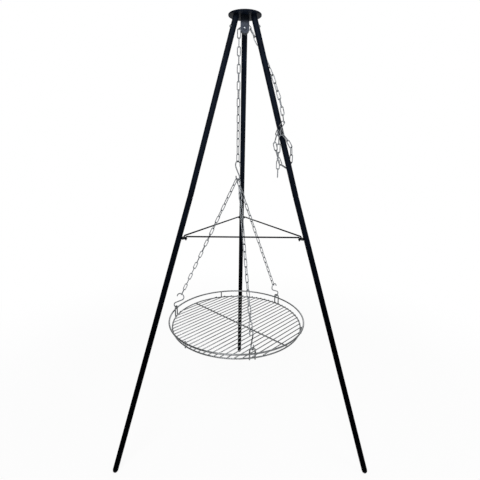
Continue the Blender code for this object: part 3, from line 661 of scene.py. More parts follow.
@dataclass(frozen=True)
class Stand:
    """Three legs of two plugged tubes, their feet, and the spreader rods between them."""

    foot_radius: float = 0.600
    joint_radius: float = 0.2335
    joint_z: float = 1.120
    top_radius: float = 0.0370
    top_z: float = 1.765
    tube_d: float = 0.022
    wall: float = 0.001
    spigot_length: float = 0.040
    joint_slit: float = 0.0006
    edge: float = 0.00025          # broken edge of a sawn tube
    stem_length: float = 0.022     # foot plug inside the tube
    dome_height: float = 0.012
    foot_flat: float = 0.0024
    spreader_z: float = 0.967
    rod_d: float = 0.006
    rod_tip: float = 0.014
    rod_bend: float = 0.005
    lug_thickness: float = 0.003
    lug_edge: float = 0.0003
    lug_reach: float = 0.018
    lug_wrap: float = 0.5          # how far it reaches back round the leg, in tube radii
    lug_width: float = 0.034
    lug_corner: float = 0.005
    lug_hole_play: float = 0.0005
    lug_hole_pitch: float = 0.017
    lug_bead_d: float = 0.0030
    lug_bead_spread: float = 62.0   # how far round the leg the bead runs to each side, in degrees

    @property
    def radius(self) -> float:
        """Outer radius of a leg tube."""
        return self.tube_d / 2

    @property
    def bore(self) -> float:
        """Inner radius of a leg tube."""
        return self.radius - self.wall

    @property
    def upper_lean(self) -> float:
        """Lean of the upper tubes from plumb, in radians."""
        return atan2(self.joint_radius - self.top_radius, self.top_z - self.joint_z)

    @property
    def lower_lean(self) -> float:
        """Lean of the lower tubes from plumb, in radians."""
        return atan2(self.foot_radius - self.joint_radius, self.joint_z)

    @property
    def level_radius(self) -> float:
        """Longer radius of a level cut through a lower tube."""
        return self.radius / cos(self.lower_lean)

    @property
    def axis_y(self) -> float:
        """Where the stand's axis stands in the frame, whose origin is the middle of the footprint."""
        return -(self.foot_radius - self.dome_height * sin(self.lower_lean)) / 4

    @property
    def lug_top(self) -> float:
        """Height of the lugs' upper faces."""
        return self.spreader_z - self.rod_bend - GAP

    def lean(self, z: float) -> float:
        """Lean of the legs at a height."""
        return self.lower_lean if z < self.joint_z else self.upper_lean

    def leg_point(self, azimuth: float, z: float) -> Vector:
        """Middle of a leg at a height."""
        return turn(azimuth, self.joint_radius + (self.joint_z - z) * tan(self.lean(z)), up=z)

    def on_leg(self, azimuth: float, z: float) -> Matrix:
        """Frame whose Z runs up a leg from a height."""
        return stood(self.leg_point(azimuth, z), azimuth, -self.lean(z))

    def upper_tube(self) -> Mesh:
        """Straight tube along Z from the plug joint up to the head.

        Returns:
            The mesh, with the plug joint at z = 0.
        """
        length = (self.top_z - self.joint_z) / cos(self.upper_lean)
        outer, inner, edge, low = self.radius, self.bore, self.edge, self.joint_slit
        return lathed([(outer - edge, length), (outer, length - edge), (outer, low + edge),
                       (outer - edge, low), (inner, low), (inner, length)], 48, closed=True)

    def lower_tube(self) -> Mesh:
        """Tube along Z whose upper end is swaged down to plug into the upper one.

        Returns:
            The mesh, with the floor's height at z = 0.
        """
        spigot = self.bore - self.spigot_length * tan(self.lower_lean - self.upper_lean) - GAP
        shoulder = self.joint_z / cos(self.lower_lean) - self.joint_slit
        outer, inner, edge, low = self.radius, self.bore, self.edge, self.dome_height
        top, under, core = shoulder + self.spigot_length, shoulder - self.wall, spigot - self.wall
        return lathed([(spigot - edge, top), (spigot, top - edge), (spigot, shoulder + edge),
                       (spigot + edge, shoulder), (outer - edge, shoulder), (outer, shoulder - edge),
                       (outer, low + edge), (outer - edge, low), (inner, low), (inner, under), (core, under),
                       (core, top)], 48, closed=True)

    def foot_plug(self, azimuth: float) -> Mesh:
        """Domed plug in its place, flat where it stands on the floor.

        Args:
            azimuth: the leg's direction in degrees.

        Returns:
            The mesh in its place.
        """
        stem, collar, tip = self.bore - GAP, self.dome_height - GAP, -self.foot_flat
        top = self.dome_height + self.stem_length
        dome = bow((0.0, collar), (self.radius, tip - collar), 0.0, 90.0, 16)[:-1]
        mesh = lathed([(0.0, top), (stem, top), (stem, collar)] + dome + [(0.0, tip)], 40)
        shape = bmesh.new()
        shape.from_mesh(moved(mesh, self.on_leg(azimuth, 0.0)))
        cut = bmesh.ops.bisect_plane(shape, geom=shape.verts[:] + shape.edges[:] + shape.faces[:],
                                     plane_co=(0.0, 0.0, 0.0), plane_no=-UP, clear_outer=True)
        bmesh.ops.holes_fill(shape, edges=[e for e in cut["geom_cut"] if isinstance(e, bmesh.types.BMEdge)])
        return mesh_of(shape)

    def lug_hole(self, azimuth: float, side: int) -> Vector:
        """Middle of one of a lug's two holes, at the height of the rods.

        Args:
            azimuth: the leg's direction in degrees.
            side: 1 or -1: to the left of the way out along the azimuth, or right.

        Returns:
            The place.
        """
        inward = self.level_radius + self.lug_reach - self.rod_d
        middle = self.leg_point(azimuth, self.spreader_z)
        return middle + turn(azimuth, -inward, side * self.lug_hole_pitch / 2)

    def lug(self, azimuth: float) -> Mesh:
        """Flat tab cut round the leg, with two holes and rounded inner corners.

        Args:
            azimuth: the leg's direction in degrees.

        Returns:
            The mesh in its place.
        """
        deep, half, corner = self.level_radius, self.lug_width / 2, self.lug_corner
        start, end = deep - self.radius * self.lug_wrap, deep + self.lug_reach
        spread = degrees(acos(start / (deep + GAP)))
        outline = [(start, half)]
        for centre_y, first in ((half - corner, 90.0), (corner - half, 0.0)):
            outline += bow((end - corner, centre_y), (corner, corner), first, first - 90.0, 6)
        outline += [(start, -half)] + bow((0.0, 0.0), (deep + GAP, self.radius + GAP), -spread, spread, 12)
        hole_r, hole_y = self.rod_d / 2 + self.lug_hole_play, self.lug_hole_pitch / 2
        holes = [bow((end - self.rod_d, y), (hole_r, hole_r), 0.0, 360.0, 28)[:-1] for y in (-hole_y, hole_y)]
        middle = self.leg_point(azimuth, self.lug_top) - UP * (self.lug_thickness / 2)
        return moved(cut_plate([outline] + holes, self.lug_thickness, self.lug_edge),
                     stood(middle, azimuth + 180.0))

    def lug_weld(self, azimuth: float) -> Mesh:
        """Bead where the tab meets the leg, above and below it.

        Args:
            azimuth: the leg's direction in degrees.

        Returns:
            The mesh in its place.
        """
        beads = []
        for z in (self.lug_top, self.lug_top - self.lug_thickness):
            line = [self.leg_point(azimuth, z) + turn(azimuth, out, aside)
                    for out, aside in bow((0.0, 0.0), (-self.level_radius, self.radius),
                                          -self.lug_bead_spread, self.lug_bead_spread, 24)]
            beads.append(swept(line, self.lug_bead_d, 10))
        return joined(beads)

    def rod(self, from_leg: Side, to_leg: Side) -> Mesh:
        """Straight rod whose two ends are bent down through the lugs.

        Args:
            from_leg: the leg where it begins.
            to_leg: the leg where it ends.

        Returns:
            The mesh in its place.
        """
        start, end = self.lug_hole(from_leg.value, 1), self.lug_hole(to_leg.value, -1)
        along, tip = (end - start).normalized(), UP * self.rod_tip
        bend = bow((self.rod_bend, self.rod_bend), (-self.rod_bend, -self.rod_bend), 0.0, 90.0, 8)
        near = [start + along * out - UP * down for out, down in bend]
        far = [end - along * out - UP * down for out, down in reversed(bend)]
        return swept([start - tip] + near + far + [end - tip], self.rod_d, 20)

    def build(self, shop: Workshop) -> None:
        """Makes the stand's pieces below the head.

        Args:
            shop: the workshop that finishes the pieces.
        """
        for leg in Side:
            name, azimuth = leg.name.lower(), leg.value
            upper = moved(self.upper_tube(), self.on_leg(azimuth, self.joint_z))
            lower = moved(self.lower_tube(), self.on_leg(azimuth, 0.0))
            for label, mesh, slot, node in (("upper_tube_", upper, Slot.BLACK_COAT, "leg_upper_"),
                                            ("lower_tube_", lower, Slot.BLACK_COAT, "leg_lower_"),
                                            ("foot_", self.foot_plug(azimuth), Slot.PLASTIC, "foot_plug_"),
                                            ("lug_", self.lug(azimuth), Slot.BLACK_COAT, "spreader_lug_")):
                shop.finish(label + name, mesh, slot, node + name)
            shop.finish("lug_weld_" + name, self.lug_weld(azimuth), Slot.BLACK_COAT)
        for name, from_leg, to_leg in (("left", Side.REAR, Side.LEFT), ("front", Side.LEFT, Side.RIGHT),
                                       ("right", Side.RIGHT, Side.REAR)):
            shop.finish("rod_" + name, self.rod(from_leg, to_leg), Slot.BLACK_COAT, "spreader_rod_" + name)


@dataclass(frozen=True)
class Head:
    """Plate on top of the legs, lock screws, and the pulley under the plate."""

    stand: Stand
    plate_d: float = 0.123
    plate_thickness: float = 0.006
    plate_edge: float = 0.0022
    screw_down_leg: float = 0.042
    screw_shank_d: float = 0.005
    screw_head_d: float = 0.0095
    screw_head_height: float = 0.0035
    screw_slot: Pair = (0.0014, 0.0012)   # width and depth
    strap_width: float = 0.032
    strap_inside: float = 0.020
    strap_sheet: float = 0.003
    strap_bend: float = 0.0015            # inner radius of the strap's bends
    strap_tip: float = 0.0001             # half width where its round ends begin
    strap_bead_d: float = 0.0022
    strap_bead_sink: float = 0.0007
    strap_bead_wave: Pair = (0.0002, 2.1)   # how far it strays, and radians from point to point
    axle_drop: float = 0.039
    axle_d: float = 0.008
    axle_head: Pair = (0.014, 0.004)      # diameter and height
    axle_highlight_angle: float = 24.0       # how far round its dome the bare zinc shows: a painted highlight on the grey dome
    axle_step: float = 0.2                # where the bare middle is thinned to the neck, in head heights
    axle_neck: Pair = (0.9, 0.1)          # its radius in shank radii and place in head heights
    axle_ring_play: float = 0.0001
    axle_ring_edge: float = 0.0002
    thread_out: float = 0.010
    thread_pitch: float = 0.00125
    thread_depth: float = 0.5             # in pitches
    nut_flats: float = 0.013
    nut_height: float = 0.0065
    nut_chamfer: float = 0.6              # of the way out from the flats to the corners
    sheave_play: float = 0.0008
    sheave_bore_play: float = 0.0002
    sheave_flange: float = 0.0012
    sheave_rise: float = 0.0045
    sheave_edge: float = 0.0003

    @property
    def plate_bottom(self) -> float:
        """Underside of the plate."""
        return self.stand.top_z + self.stand.radius * sin(self.stand.upper_lean) + GAP

    @property
    def axle_z(self) -> float:
        """Height of the pulley's axle."""
        return self.stand.top_z - self.axle_drop

    @property
    def cheek(self) -> float:
        """From the middle of the pulley to the outside of a cheek."""
        return self.strap_inside / 2 + self.strap_sheet

    @property
    def head_seat(self) -> float:
        """Where the bolt's head rests on the front cheek, along the axle."""
        return -self.cheek - GAP

    @property
    def crosswise(self) -> Matrix:
        """Frame at the axle whose Z points to the rear."""
        return Matrix.Translation(UP * self.axle_z) @ Matrix.Rotation(-pi / 2, 4, "X")

    def plate(self) -> Mesh:
        """Round plate with rolled edges.

        Returns:
            The mesh in its place.
        """
        outer, low, edge = self.plate_d / 2, self.plate_bottom, self.plate_edge
        high = low + self.plate_thickness
        rim = []
        for middle, first in ((high - edge, 90.0), (low + edge, 0.0)):
            rim += bow((outer - edge, middle), (edge, edge), first, first - 90.0, 8)
        return lathed([(0.0, high)] + rim + [(0.0, low)], 96, sharp_degrees=50.0)

    def lock_screw(self, azimuth: float) -> Mesh:
        """Slotted pan-head screw square to the leg.

        Args:
            azimuth: the leg's direction in degrees.

        Returns:
            The mesh in its place.
        """
        stand, lean = self.stand, self.stand.upper_lean
        head, shank, height = self.screw_head_d / 2, self.screw_shank_d / 2, self.screw_head_height
        crown = bow((head * (1 - CROWN), GAP + height * (1 - CROWN)), (head * CROWN, height * CROWN),
                    90.0, 0.0, 7)
        top, inner = GAP + height, -(stand.wall + GAP)
        screw = lathed([(0.0, top)] + crown + [(head, GAP), (shank, GAP), (shank, inner), (0.0, inner)], 40)
        width, depth = self.screw_slot
        screw = carved(screw, box(stood(UP * top), (width, 3 * head, 2 * depth)))
        seat = stand.leg_point(azimuth, stand.top_z - self.screw_down_leg * cos(lean))
        seat += turn(azimuth, stand.radius * cos(lean), up=stand.radius * sin(lean))
        return moved(screw, stood(seat, azimuth, pi / 2 - lean))

    def strap(self) -> Mesh:
        """Strap bent to a U, with round lower ends; it carries the axle.

        Returns:
            The mesh in its place.
        """
        half, thick = self.strap_width / 2, self.strap_sheet / 2
        bend, middle = self.strap_bend + thick, self.cheek - thick
        corner_z = self.plate_bottom - GAP - thick - bend
        # Place across and height of the sheet's middle, its half width there, and its normal
        line = [(-middle, z, width, (-1.0, 0.0))
                for z, width in bow((self.axle_z, 0.0), (-half, half), 0.0, 90.0, 16)]
        line += [(bend - middle + bend * normal[0], corner_z + bend * normal[1], half, normal)
                 for normal in bow((0.0, 0.0), (1.0, 1.0), 180.0, 90.0, 6)]
        line += [(-y, z, width, (-normal[0], normal[1])) for y, z, width, normal in reversed(line)]
        shape = bmesh.new()
        rows = []
        for y, z, width, normal in line:
            x = max(width, self.strap_tip)
            rows.append([shape.verts.new((side * x, y + normal[0] * out, z + normal[1] * out))
                         for side, out in ((-1, -thick), (1, -thick), (1, thick), (-1, thick))])
        skin(shape, rows)
        shape.faces.new(rows[0])
        shape.faces.new(rows[-1])
        return mesh_of(shape, 30.0)

    def head_dome(self, first: float, last: float, steps: int) -> list[Pair]:
        """Part of the bolt head's domed face, between two angles from its rim.

        Args:
            first: angle in degrees where the points begin.
            last: angle where they end; 90 is the top of the dome.
            steps: number of steps between them.

        Returns:
            Points as (radius, place along the axle).
        """
        diameter, height = self.axle_head
        middle = (0.0, self.head_seat - height * (1 - CROWN))
        return bow(middle, (diameter / 2, -height * CROWN), first, last, steps)

    def axle(self) -> Mesh:
        """Domed bolt from the front cheek through the rear one, with a cut thread at its end.

        Returns:
            The mesh in its place.
        """
        height, shank, pitch, seat = self.axle_head[1], self.axle_d / 2, self.thread_pitch, self.head_seat
        # The dome's middle is bare zinc and the rest is grey-coated: a painted highlight in the middle of the
        # head
        profile = [(0.0, seat - height)] + self.head_dome(90.0, 90.0 - self.axle_highlight_angle, 4)[1:]
        neck, place = self.axle_neck
        profile += [(profile[-1][0], seat - height * self.axle_step), (shank * neck, seat - height * place),
                    (shank, seat)]
        at, end, depth = self.cheek + GAP, self.cheek + self.thread_out, pitch * self.thread_depth
        while at + pitch < end - depth:
            profile += [(shank, at), (shank - depth, at + pitch / 2)]
            at += pitch
        profile += [(shank, at), (shank, end - depth), (shank - depth, end), (0.0, end)]
        return moved(lathed(profile[::-1], 40), self.crosswise)

    def axle_ring(self) -> Mesh:
        """Grey-coated shoulder of the bolt's domed head, round its bare zinc middle, which is a painted
        highlight.

        Returns:
            The mesh in its place.
        """
        head, seat = self.axle_head[0] / 2, self.head_seat
        edge, play = self.axle_ring_edge, self.axle_ring_play
        profile = self.head_dome(90.0 - self.axle_highlight_angle, 0.0, 8)
        profile += [(head, seat - edge), (head - edge, seat), (self.axle_d / 2 + play, seat),
                    (profile[0][0] + play / 2, seat - self.axle_head[1] * self.axle_step)]
        return moved(lathed(profile[::-1], 40, closed=True), self.crosswise)

    def nut(self) -> Mesh:
        """Hexagon nut with chamfered corners on the rear cheek.

        Returns:
            The mesh in its place.
        """
        low, high = self.cheek + GAP, self.cheek + GAP + self.nut_height
        flats, bore = self.nut_flats / 2, self.axle_d / 2 + GAP
        corner = flats / cos(pi / 6)
        chamfer = (corner - flats) * self.nut_chamfer
        nut = lathed([(flats, low), (corner, low + chamfer), (corner, high - chamfer), (flats, high),
                      (bore, high), (bore, low)], 48, closed=True)
        for i in range(6):
            beyond = turn(60.0 * i, flats + corner, up=(low + high) / 2)
            nut = carved(nut, box(stood(beyond, 60.0 * i), (2 * corner, 4 * corner, 4 * self.nut_height)))
        return moved(nut, self.crosswise)

    def sheave(self, chain: "Chain") -> Mesh:
        """Grooved wheel: a slot for the upright links between shoulders for the flat ones.

        Args:
            chain: the chain that runs over it.

        Returns:
            The mesh in its place.
        """
        half = self.strap_inside / 2 - self.sheave_play
        chord, play = chain.offset * cos(pi / 4), chain.wire_d / 4
        shoulder = chord - chain.wire_d / 2 - play
        flange = shoulder + self.sheave_rise
        slot_r, slot = chord - chain.width / 2 - play, chain.wire_d / 2 + play
        bore, inner = self.axle_d / 2 + self.sheave_bore_play, half - self.sheave_flange
        edge = self.sheave_edge
        rear = [(bore, half), (flange - edge, half), (flange, half - edge), (flange, inner + edge),
                (flange - edge, inner), (shoulder + edge, inner), (shoulder, inner - edge),
                (shoulder, slot + edge), (shoulder - edge, slot), (slot_r + edge, slot),
                (slot_r, slot - edge)]
        front = [(radius, -height) for radius, height in reversed(rear)]
        return moved(lathed(rear + front, 72, closed=True, sharp_degrees=30.0), self.crosswise)

    def strap_weld(self) -> Mesh:
        """Slightly wavy beads along both cheeks under the plate.

        Returns:
            The mesh in its place.
        """
        wave, step = self.strap_bead_wave
        beads = []
        for side in (-1, 1):
            line = [Vector((self.strap_width * (i / 20 - 0.5), side * (self.cheek + wave * sin(i * step)),
                            self.plate_bottom - self.strap_bead_sink)) for i in range(21)]
            beads.append(swept(line, self.strap_bead_d, 10))
        return joined(beads)

    def build(self, shop: Workshop, chain: "Chain", nodes: dict[str, Object]) -> None:
        """Makes the head's pieces.

        Args:
            shop: the workshop that finishes the pieces.
            chain: the chain that runs over the sheave.
            nodes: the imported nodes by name.
        """
        shop.finish("head_plate", self.plate(), Slot.BLACK_COAT, "top_plate")
        for leg in Side:
            name = leg.name.lower()
            shop.finish("screw_" + name, self.lock_screw(leg.value), Slot.ZINC, "lock_screw_" + name)
            shop.repaint(nodes["head_stub_" + name], Slot.BLACK_COAT)
        shop.finish("pulley_strap", self.strap(), Slot.GREY_COAT, "pulley_bracket")
        shop.finish("strap_weld", self.strap_weld(), Slot.GREY_COAT)
        # The bolt's bare zinc middle is a painted highlight; the grey ring round it is the coat
        shop.finish("axle_bolt", self.axle(), Slot.ZINC, "pulley_axle")
        shop.finish("axle_head", self.axle_ring(), Slot.GREY_COAT, "pulley_axle")
        shop.finish("hexagon_nut", self.nut(), Slot.ZINC, "axle_nut")
        shop.finish("sheave_wheel", self.sheave(chain), Slot.ZINC, "pulley_wheel", body="sheave")


@dataclass(frozen=True)
class Link:
    """One link of a chain: where it bears at each end, and which way it is wide."""

    start: Vector
    end: Vector
    wide: Vector


@dataclass(frozen=True)
class Chain:
    """Long-link chain of round wire and the routes that it takes."""

    pitch: float = 0.030
    wire_d: float = 0.0035
    width: float = 0.0145
    spare_end_links: int = 6
    hoist_links_paid_out: int = 8     # hidden at rest, shown when the grate is let down
    paid_out_thinner: float = 0.0002  # how much thinner they are, to hide in the others

    @property
    def offset(self) -> float:
        """Half the distance between the chain's two sides under the sheave."""
        return self.pitch / sqrt(2)

    def link_tree(self, material: Material) -> NodeTree:
        """Geometry Nodes tree that sets a bent link on each point of a mesh.

        Each point carries link_turn, the link's Euler angles, and link_stretch, its length in pitches.

        Args:
            material: default of the tree's Material input.

        Returns:
            The tree.
        """
        tree, given = tree_with_inputs("chain_of_links", {
            "Wire diameter": self.wire_d, "Link width": self.width, "Pitch": self.pitch}, material)
        wire, points = given["Wire diameter"], given["Geometry"]
        broad = computed(tree, "SUBTRACT", given["Link width"], wire)
        frame = outlet(tree, "GeometryNodeCurvePrimitiveQuadrilateral", {
            "Width": broad, "Height": computed(tree, "ADD", given["Pitch"], wire)})
        # The bends are a little less than half the width, so that a straight stays between them
        rounded = outlet(tree, "GeometryNodeFilletCurve", {
            "Curve": frame, "Radius": computed(tree, "MULTIPLY", broad, 0.499), "Count": 6}, mode="POLY")
        profile = outlet(tree, "GeometryNodeCurvePrimitiveCircle", {
            "Resolution": 12, "Radius": computed(tree, "MULTIPLY", wire, 0.5)})
        tube = outlet(tree, "GeometryNodeCurveToMesh", {"Curve": rounded, "Profile Curve": profile})
        smooth = outlet(tree, "GeometryNodeSetShadeSmooth", {"Geometry": tube})
        upright = outlet(tree, "GeometryNodeTransform", {"Geometry": smooth, "Rotation": (pi / 2, 0.0, 0.0)})
        angles, stretch = (outlet(tree, "GeometryNodeInputNamedAttribute", {"Name": name}, data_type=kind)
                           for name, kind in (("link_turn", "FLOAT_VECTOR"), ("link_stretch", "FLOAT")))
        turned = outlet(tree, "FunctionNodeEulerToRotation", {0: angles})
        scale = outlet(tree, "ShaderNodeCombineXYZ", {"X": 1.0, "Y": 1.0, "Z": stretch})
        return close_tree(tree, given, instanced(tree, points, upright, Rotation=turned, Scale=scale))

    def mesh(self, tree: NodeTree, links: Sequence[Link], thinner: float = 0.0) -> Mesh:
        """Real links, each round its neighbour's wire.

        Args:
            tree: the tree that makes links.
            links: where each of them is.
            thinner: taken off the wire, for links that hide inside others.

        Returns:
            One mesh of all the links.
        """
        base = points_of([(link.start + link.end) / 2 for link in links])
        base.attributes.new("link_turn", "FLOAT_VECTOR", "POINT")
        base.attributes.new("link_stretch", "FLOAT", "POINT")
        turns, stretches = base.attributes["link_turn"], base.attributes["link_stretch"]
        for i, link in enumerate(links):
            along = (link.end - link.start).normalized()
            across = (link.wide - along * link.wide.dot(along)).normalized()
            turns.data[i].vector = Matrix((across, along.cross(across), along)).transposed().to_euler()
            stretches.data[i].value = (link.end - link.start).length / self.pitch
        return evaluated(tree, base, {"Wire diameter": self.wire_d - thinner,
                                      "Link width": self.width - thinner})

    def run(self, joints: Sequence[Vector], first_wide: Vector, last_wide: Vector | None = None,
            start_bears: bool = False, end_bears: bool = False) -> list[Link]:
        """Links from joint to joint, each turned square to the last.

        Args:
            joints: where the links bear on each other.
            first_wide: which way the first link is wide.
            last_wide: which way the last link is wide; the run twists evenly to it.
            start_bears: whether the first link holds a hook or a peg.
            end_bears: whether the last link does.

        Returns:
            The links in order.
        """
        joints = [joint.copy() for joint in joints]
        count = len(joints) - 1
        twist_end = first_wide
        if last_wide is not None:
            last_along = (joints[-1] - joints[-2]).normalized()
            twist_end = last_wide if count % 2 == 1 else last_wide.cross(last_along)
            if twist_end.dot(first_wide) < 0.0:
                twist_end = -twist_end
        widths = []
        for i in range(count):
            along = (joints[i + 1] - joints[i]).normalized()
            base = first_wide.slerp(twist_end, i / max(1, count - 1))
            widths.append(base if i % 2 == 0 else along.cross(base))
        for bears, end, inner in ((start_bears, 0, 1), (end_bears, -1, -2)):
            if bears:
                joints[end] += (joints[inner] - joints[end]).normalized() * (LINK_BITE + GAP)
        return [Link(joints[i], joints[i + 1], widths[i]) for i in range(count)]

    def joints_along(self, points: Sequence[Vector], per_span: int = 24) -> list[Vector]:
        """Joints on a smooth curve through a route's points, a whole number of links nearest to the pitch.

        Args:
            points: the route's points.
            per_span: steps of the curve from point to point.

        Returns:
            The joints, from the first point to the last.
        """
        padded = [points[0] * 2 - points[1]] + list(points) + [points[-1] * 2 - points[-2]]
        route = []
        for a, b, c, d in zip(padded, padded[1:], padded[2:], padded[3:]):
            for step in range(per_span):
                t = step / per_span
                route.append(0.5 * ((2 * b) + (c - a) * t + (2 * a - 5 * b + 4 * c - d) * t * t
                                    + (3 * b - a - 3 * c + d) * t ** 3))
        route.append(points[-1].copy())
        lengths = [0.0]
        for a, b in zip(route, route[1:]):
            lengths.append(lengths[-1] + (b - a).length)
        count = max(2, round(lengths[-1] / self.pitch))
        joints, spot = [], 0
        for i in range(count + 1):
            wanted = lengths[-1] * i / count
            while spot < len(route) - 2 and lengths[spot + 1] < wanted:
                spot += 1
            share = (wanted - lengths[spot]) / (lengths[spot + 1] - lengths[spot])
            joints.append(route[spot].lerp(route[spot + 1], min(1.0, share)))
        return joints

    def straight_joints(self, start: Vector, end: Vector) -> list[Vector]:
        """Joints of a taut chain between two points."""
        count = max(2, round((end - start).length / self.pitch))
        return [start.lerp(end, i / count) for i in range(count + 1)]


@dataclass(frozen=True)
class FreeSide:
    """The chain's free side: over the sheave, down behind the right leg, and its spare length on a peg."""

    stand: Stand
    head: Head
    chain: Chain
    peg_z: float = 1.374
    peg_azimuth: float = -100.0
    peg_length: float = 0.034
    peg_d: float = 0.005
    peg_head_d: float = 0.012
    peg_head_thickness: float = 0.003
    peg_dome: Pair = (0.5, 0.6)    # shares of the head's radius and thickness that are rounded
    peg_bead_d: float = 0.0024
    peg_bead_at: Pair = (0.0007, 0.0002)   # its middle's distance from the peg and from the leg
    # How far out from the leg the chain's four ends are that hold the peg
    peg_slots: tuple[float, ...] = (0.0055, 0.0110, 0.0165, 0.0245)

    @property
    def aside(self) -> Vector:
        """To the right of the peg, seen from its head."""
        return turn(self.peg_azimuth + 90.0)

    def beside_leg(self, z: float, azimuth: float, distance: float) -> Vector:
        """Point beside the right leg, seen from its middle."""
        return self.stand.leg_point(Side.RIGHT.value, z) + turn(azimuth, distance)

    def peg_point(self, outwards: float, sideways: float = 0.0, up: float = 0.0) -> Vector:
        """Point by the peg: out from the leg, to the right of the peg, and up.

        Args:
            outwards: metres out from the leg's skin.
            sideways: metres to the right.
            up: metres above the peg's middle.

        Returns:
            The place.
        """
        reach = self.stand.radius / cos(self.stand.upper_lean) + outwards
        middle = self.stand.leg_point(Side.RIGHT.value, self.peg_z)
        return middle + turn(self.peg_azimuth, reach, sideways, up)

    def near_peg(self, outwards: float, sideways: float, up: float) -> Vector:
        """Point by the peg whose distances to the side and up are in links."""
        return self.peg_point(outwards, sideways * self.chain.pitch, up * self.chain.pitch)

    def on_peg(self, outwards: float, sideways: float, up: float) -> Vector:
        """Where a link ends that holds the peg and leads off sideways and up."""
        seat = (self.peg_d / 2 + LINK_BITE + GAP) / hypot(sideways, up)
        return self.peg_point(outwards, -sideways * seat, -up * seat)

    def peg(self) -> Mesh:
        """Peg with a rounded head, from inside the leg's wall, and its weld.

        Returns:
            The mesh in its place.
        """
        length, shank, head, thick = (self.peg_length, self.peg_d / 2, self.peg_head_d / 2,
                                      self.peg_head_thickness)
        under, inside = length - thick, -self.stand.wall * 0.5
        wide, deep = head * self.peg_dome[0], thick * self.peg_dome[1]
        dome = bow((head - wide, length - deep), (wide, deep), 90.0, 0.0, 8)[1:]
        pin = lathed([(0.0, length)] + dome + [(head, under), (shank, under), (shank, inside),
                                               (0.0, inside)], 36)
        out, up = self.peg_bead_at
        bead = swept(level_ring(UP * up, shank + out, 32), self.peg_bead_d, 10, closed=True)
        return moved(joined([pin, bead]), stood(self.peg_point(0.0), self.peg_azimuth, pi / 2))

    def hauled_links(self) -> list[Link]:
        """From the hoist side over the sheave and down behind the right leg to the peg.

        Returns:
            The links in order.
        """
        offset, axle_z, pitch, slot = self.chain.offset, self.head.axle_z, self.chain.pitch, self.peg_slots[0]
        clear = self.stand.radius + self.chain.width / 2
        # Share of the drop to the peg, direction from the leg, clearance in links
        stations = ((0.102, 113.0, 0.267), (0.202, 92.0, 0.183), (0.330, 62.0, 0.133), (0.472, 32.0, 0.160),
                    (0.642, 12.0, 0.200), (0.767, -2.0, 0.200), (0.858, -22.0, 0.167))
        route = [Vector((offset, 0.0, axle_z))]
        route += [self.beside_leg(axle_z - share * (axle_z - self.peg_z), azimuth, clear + links * pitch)
                  for share, azimuth, links in stations]
        route += [self.near_peg(slot + 0.050 * pitch, 0.467, 0.783), self.on_peg(slot, 0.467, 0.783)]
        joints = [Vector((-offset, 0.0, axle_z)), Vector((0.0, 0.0, axle_z + offset))]
        return self.chain.run(joints + self.chain.joints_along(route), Vector((0.0, 1.0, 0.0)), self.aside,
                              end_bears=True)

    def spare_loop_links(self) -> list[Link]:
        """Slack loop round the leg, both ends on the peg.

        Returns:
            The links in order.
        """
        pitch, first, last = self.chain.pitch, self.peg_slots[1], self.peg_slots[2]
        # Drop below the peg in links, direction from the leg, distance in links
        stations = ((1.933, -22.0, 0.850), (3.000, 12.0, 0.750), (4.100, 50.0, 0.770), (4.900, 100.0, 0.900),
                    (4.500, 145.0, 1.030), (3.500, 170.0, 1.100), (2.500, 184.0, 1.130))
        loop = [self.on_peg(first, 0.450, -0.783), self.near_peg(first + 0.017 * pitch, 0.450, -0.783)]
        loop += [self.beside_leg(self.peg_z - down * pitch, azimuth, links * pitch)
                 for down, azimuth, links in stations]
        loop += [self.near_peg(last - 0.133 * pitch, -0.560, -1.600),
                 self.near_peg(last - 0.033 * pitch, -0.320, -0.830), self.on_peg(last, -0.320, -0.830)]
        return self.chain.run(self.chain.joints_along(loop), self.aside, self.aside, start_bears=True,
                              end_bears=True)

    def spare_end_links(self) -> list[Link]:
        """Straight end that hangs from the peg.

        Returns:
            The links in order.
        """
        top = self.on_peg(self.peg_slots[3], 0.0, -1.0)
        joints = [top - UP * (self.chain.pitch * i) for i in range(self.chain.spare_end_links + 1)]
        return self.chain.run(joints, self.aside, start_bears=True)

    def build(self, shop: Workshop, tree: NodeTree) -> None:
        """Makes the peg and the free side's links.

        Args:
            shop: the workshop that finishes the pieces.
            tree: the tree that makes links.
        """
        shop.finish("tie_peg", self.peg(), Slot.BLACK_COAT, "chain_peg")
        for name, links, node, body in (("hauled_chain", self.hauled_links(), "free_chain", "stand"),
                                        ("slack_loop", self.spare_loop_links(), "spare_loop", "stand"),
                                        ("loose_end", self.spare_end_links(), "spare_end", "chain_end")):
            shop.finish(name, self.chain.mesh(tree, links), Slot.ZINC, node, body)


@dataclass(frozen=True)
class Hook:
    """S-hook of round wire."""

    wire_d: float = 0.005
    top_r: float = 0.0165
    bottom_r: float = 0.0125
    centres: float = 0.048
    tip_angle: float = 18.0

    @property
    def seat(self) -> float:
        """From the middle of the wire to the end of a link that hangs on it."""
        return self.wire_d / 2 + LINK_BITE + GAP

    @property
    def top_seat(self) -> float:
        """From the hook's middle up to the end of the link that carries it."""
        return self.centres / 2 + self.top_r - self.seat

    def mesh(self, frame: Matrix) -> Mesh:
        """The hook placed by its frame: Z along its load, X in its plane.

        Args:
            frame: where the hook's middle is and how it hangs.

        Returns:
            The mesh in its place.
        """
        top = UP * (self.centres / 2)
        reach = degrees(acos((self.top_r + self.bottom_r) / self.centres))
        over = arc(top, self.top_r, 180.0 + self.tip_angle, -90.0 + reach, 33)
        under = arc(-top, self.bottom_r, 90.0 + reach, 360.0 + self.tip_angle, 33)
        return moved(swept(over + under, self.wire_d), frame)


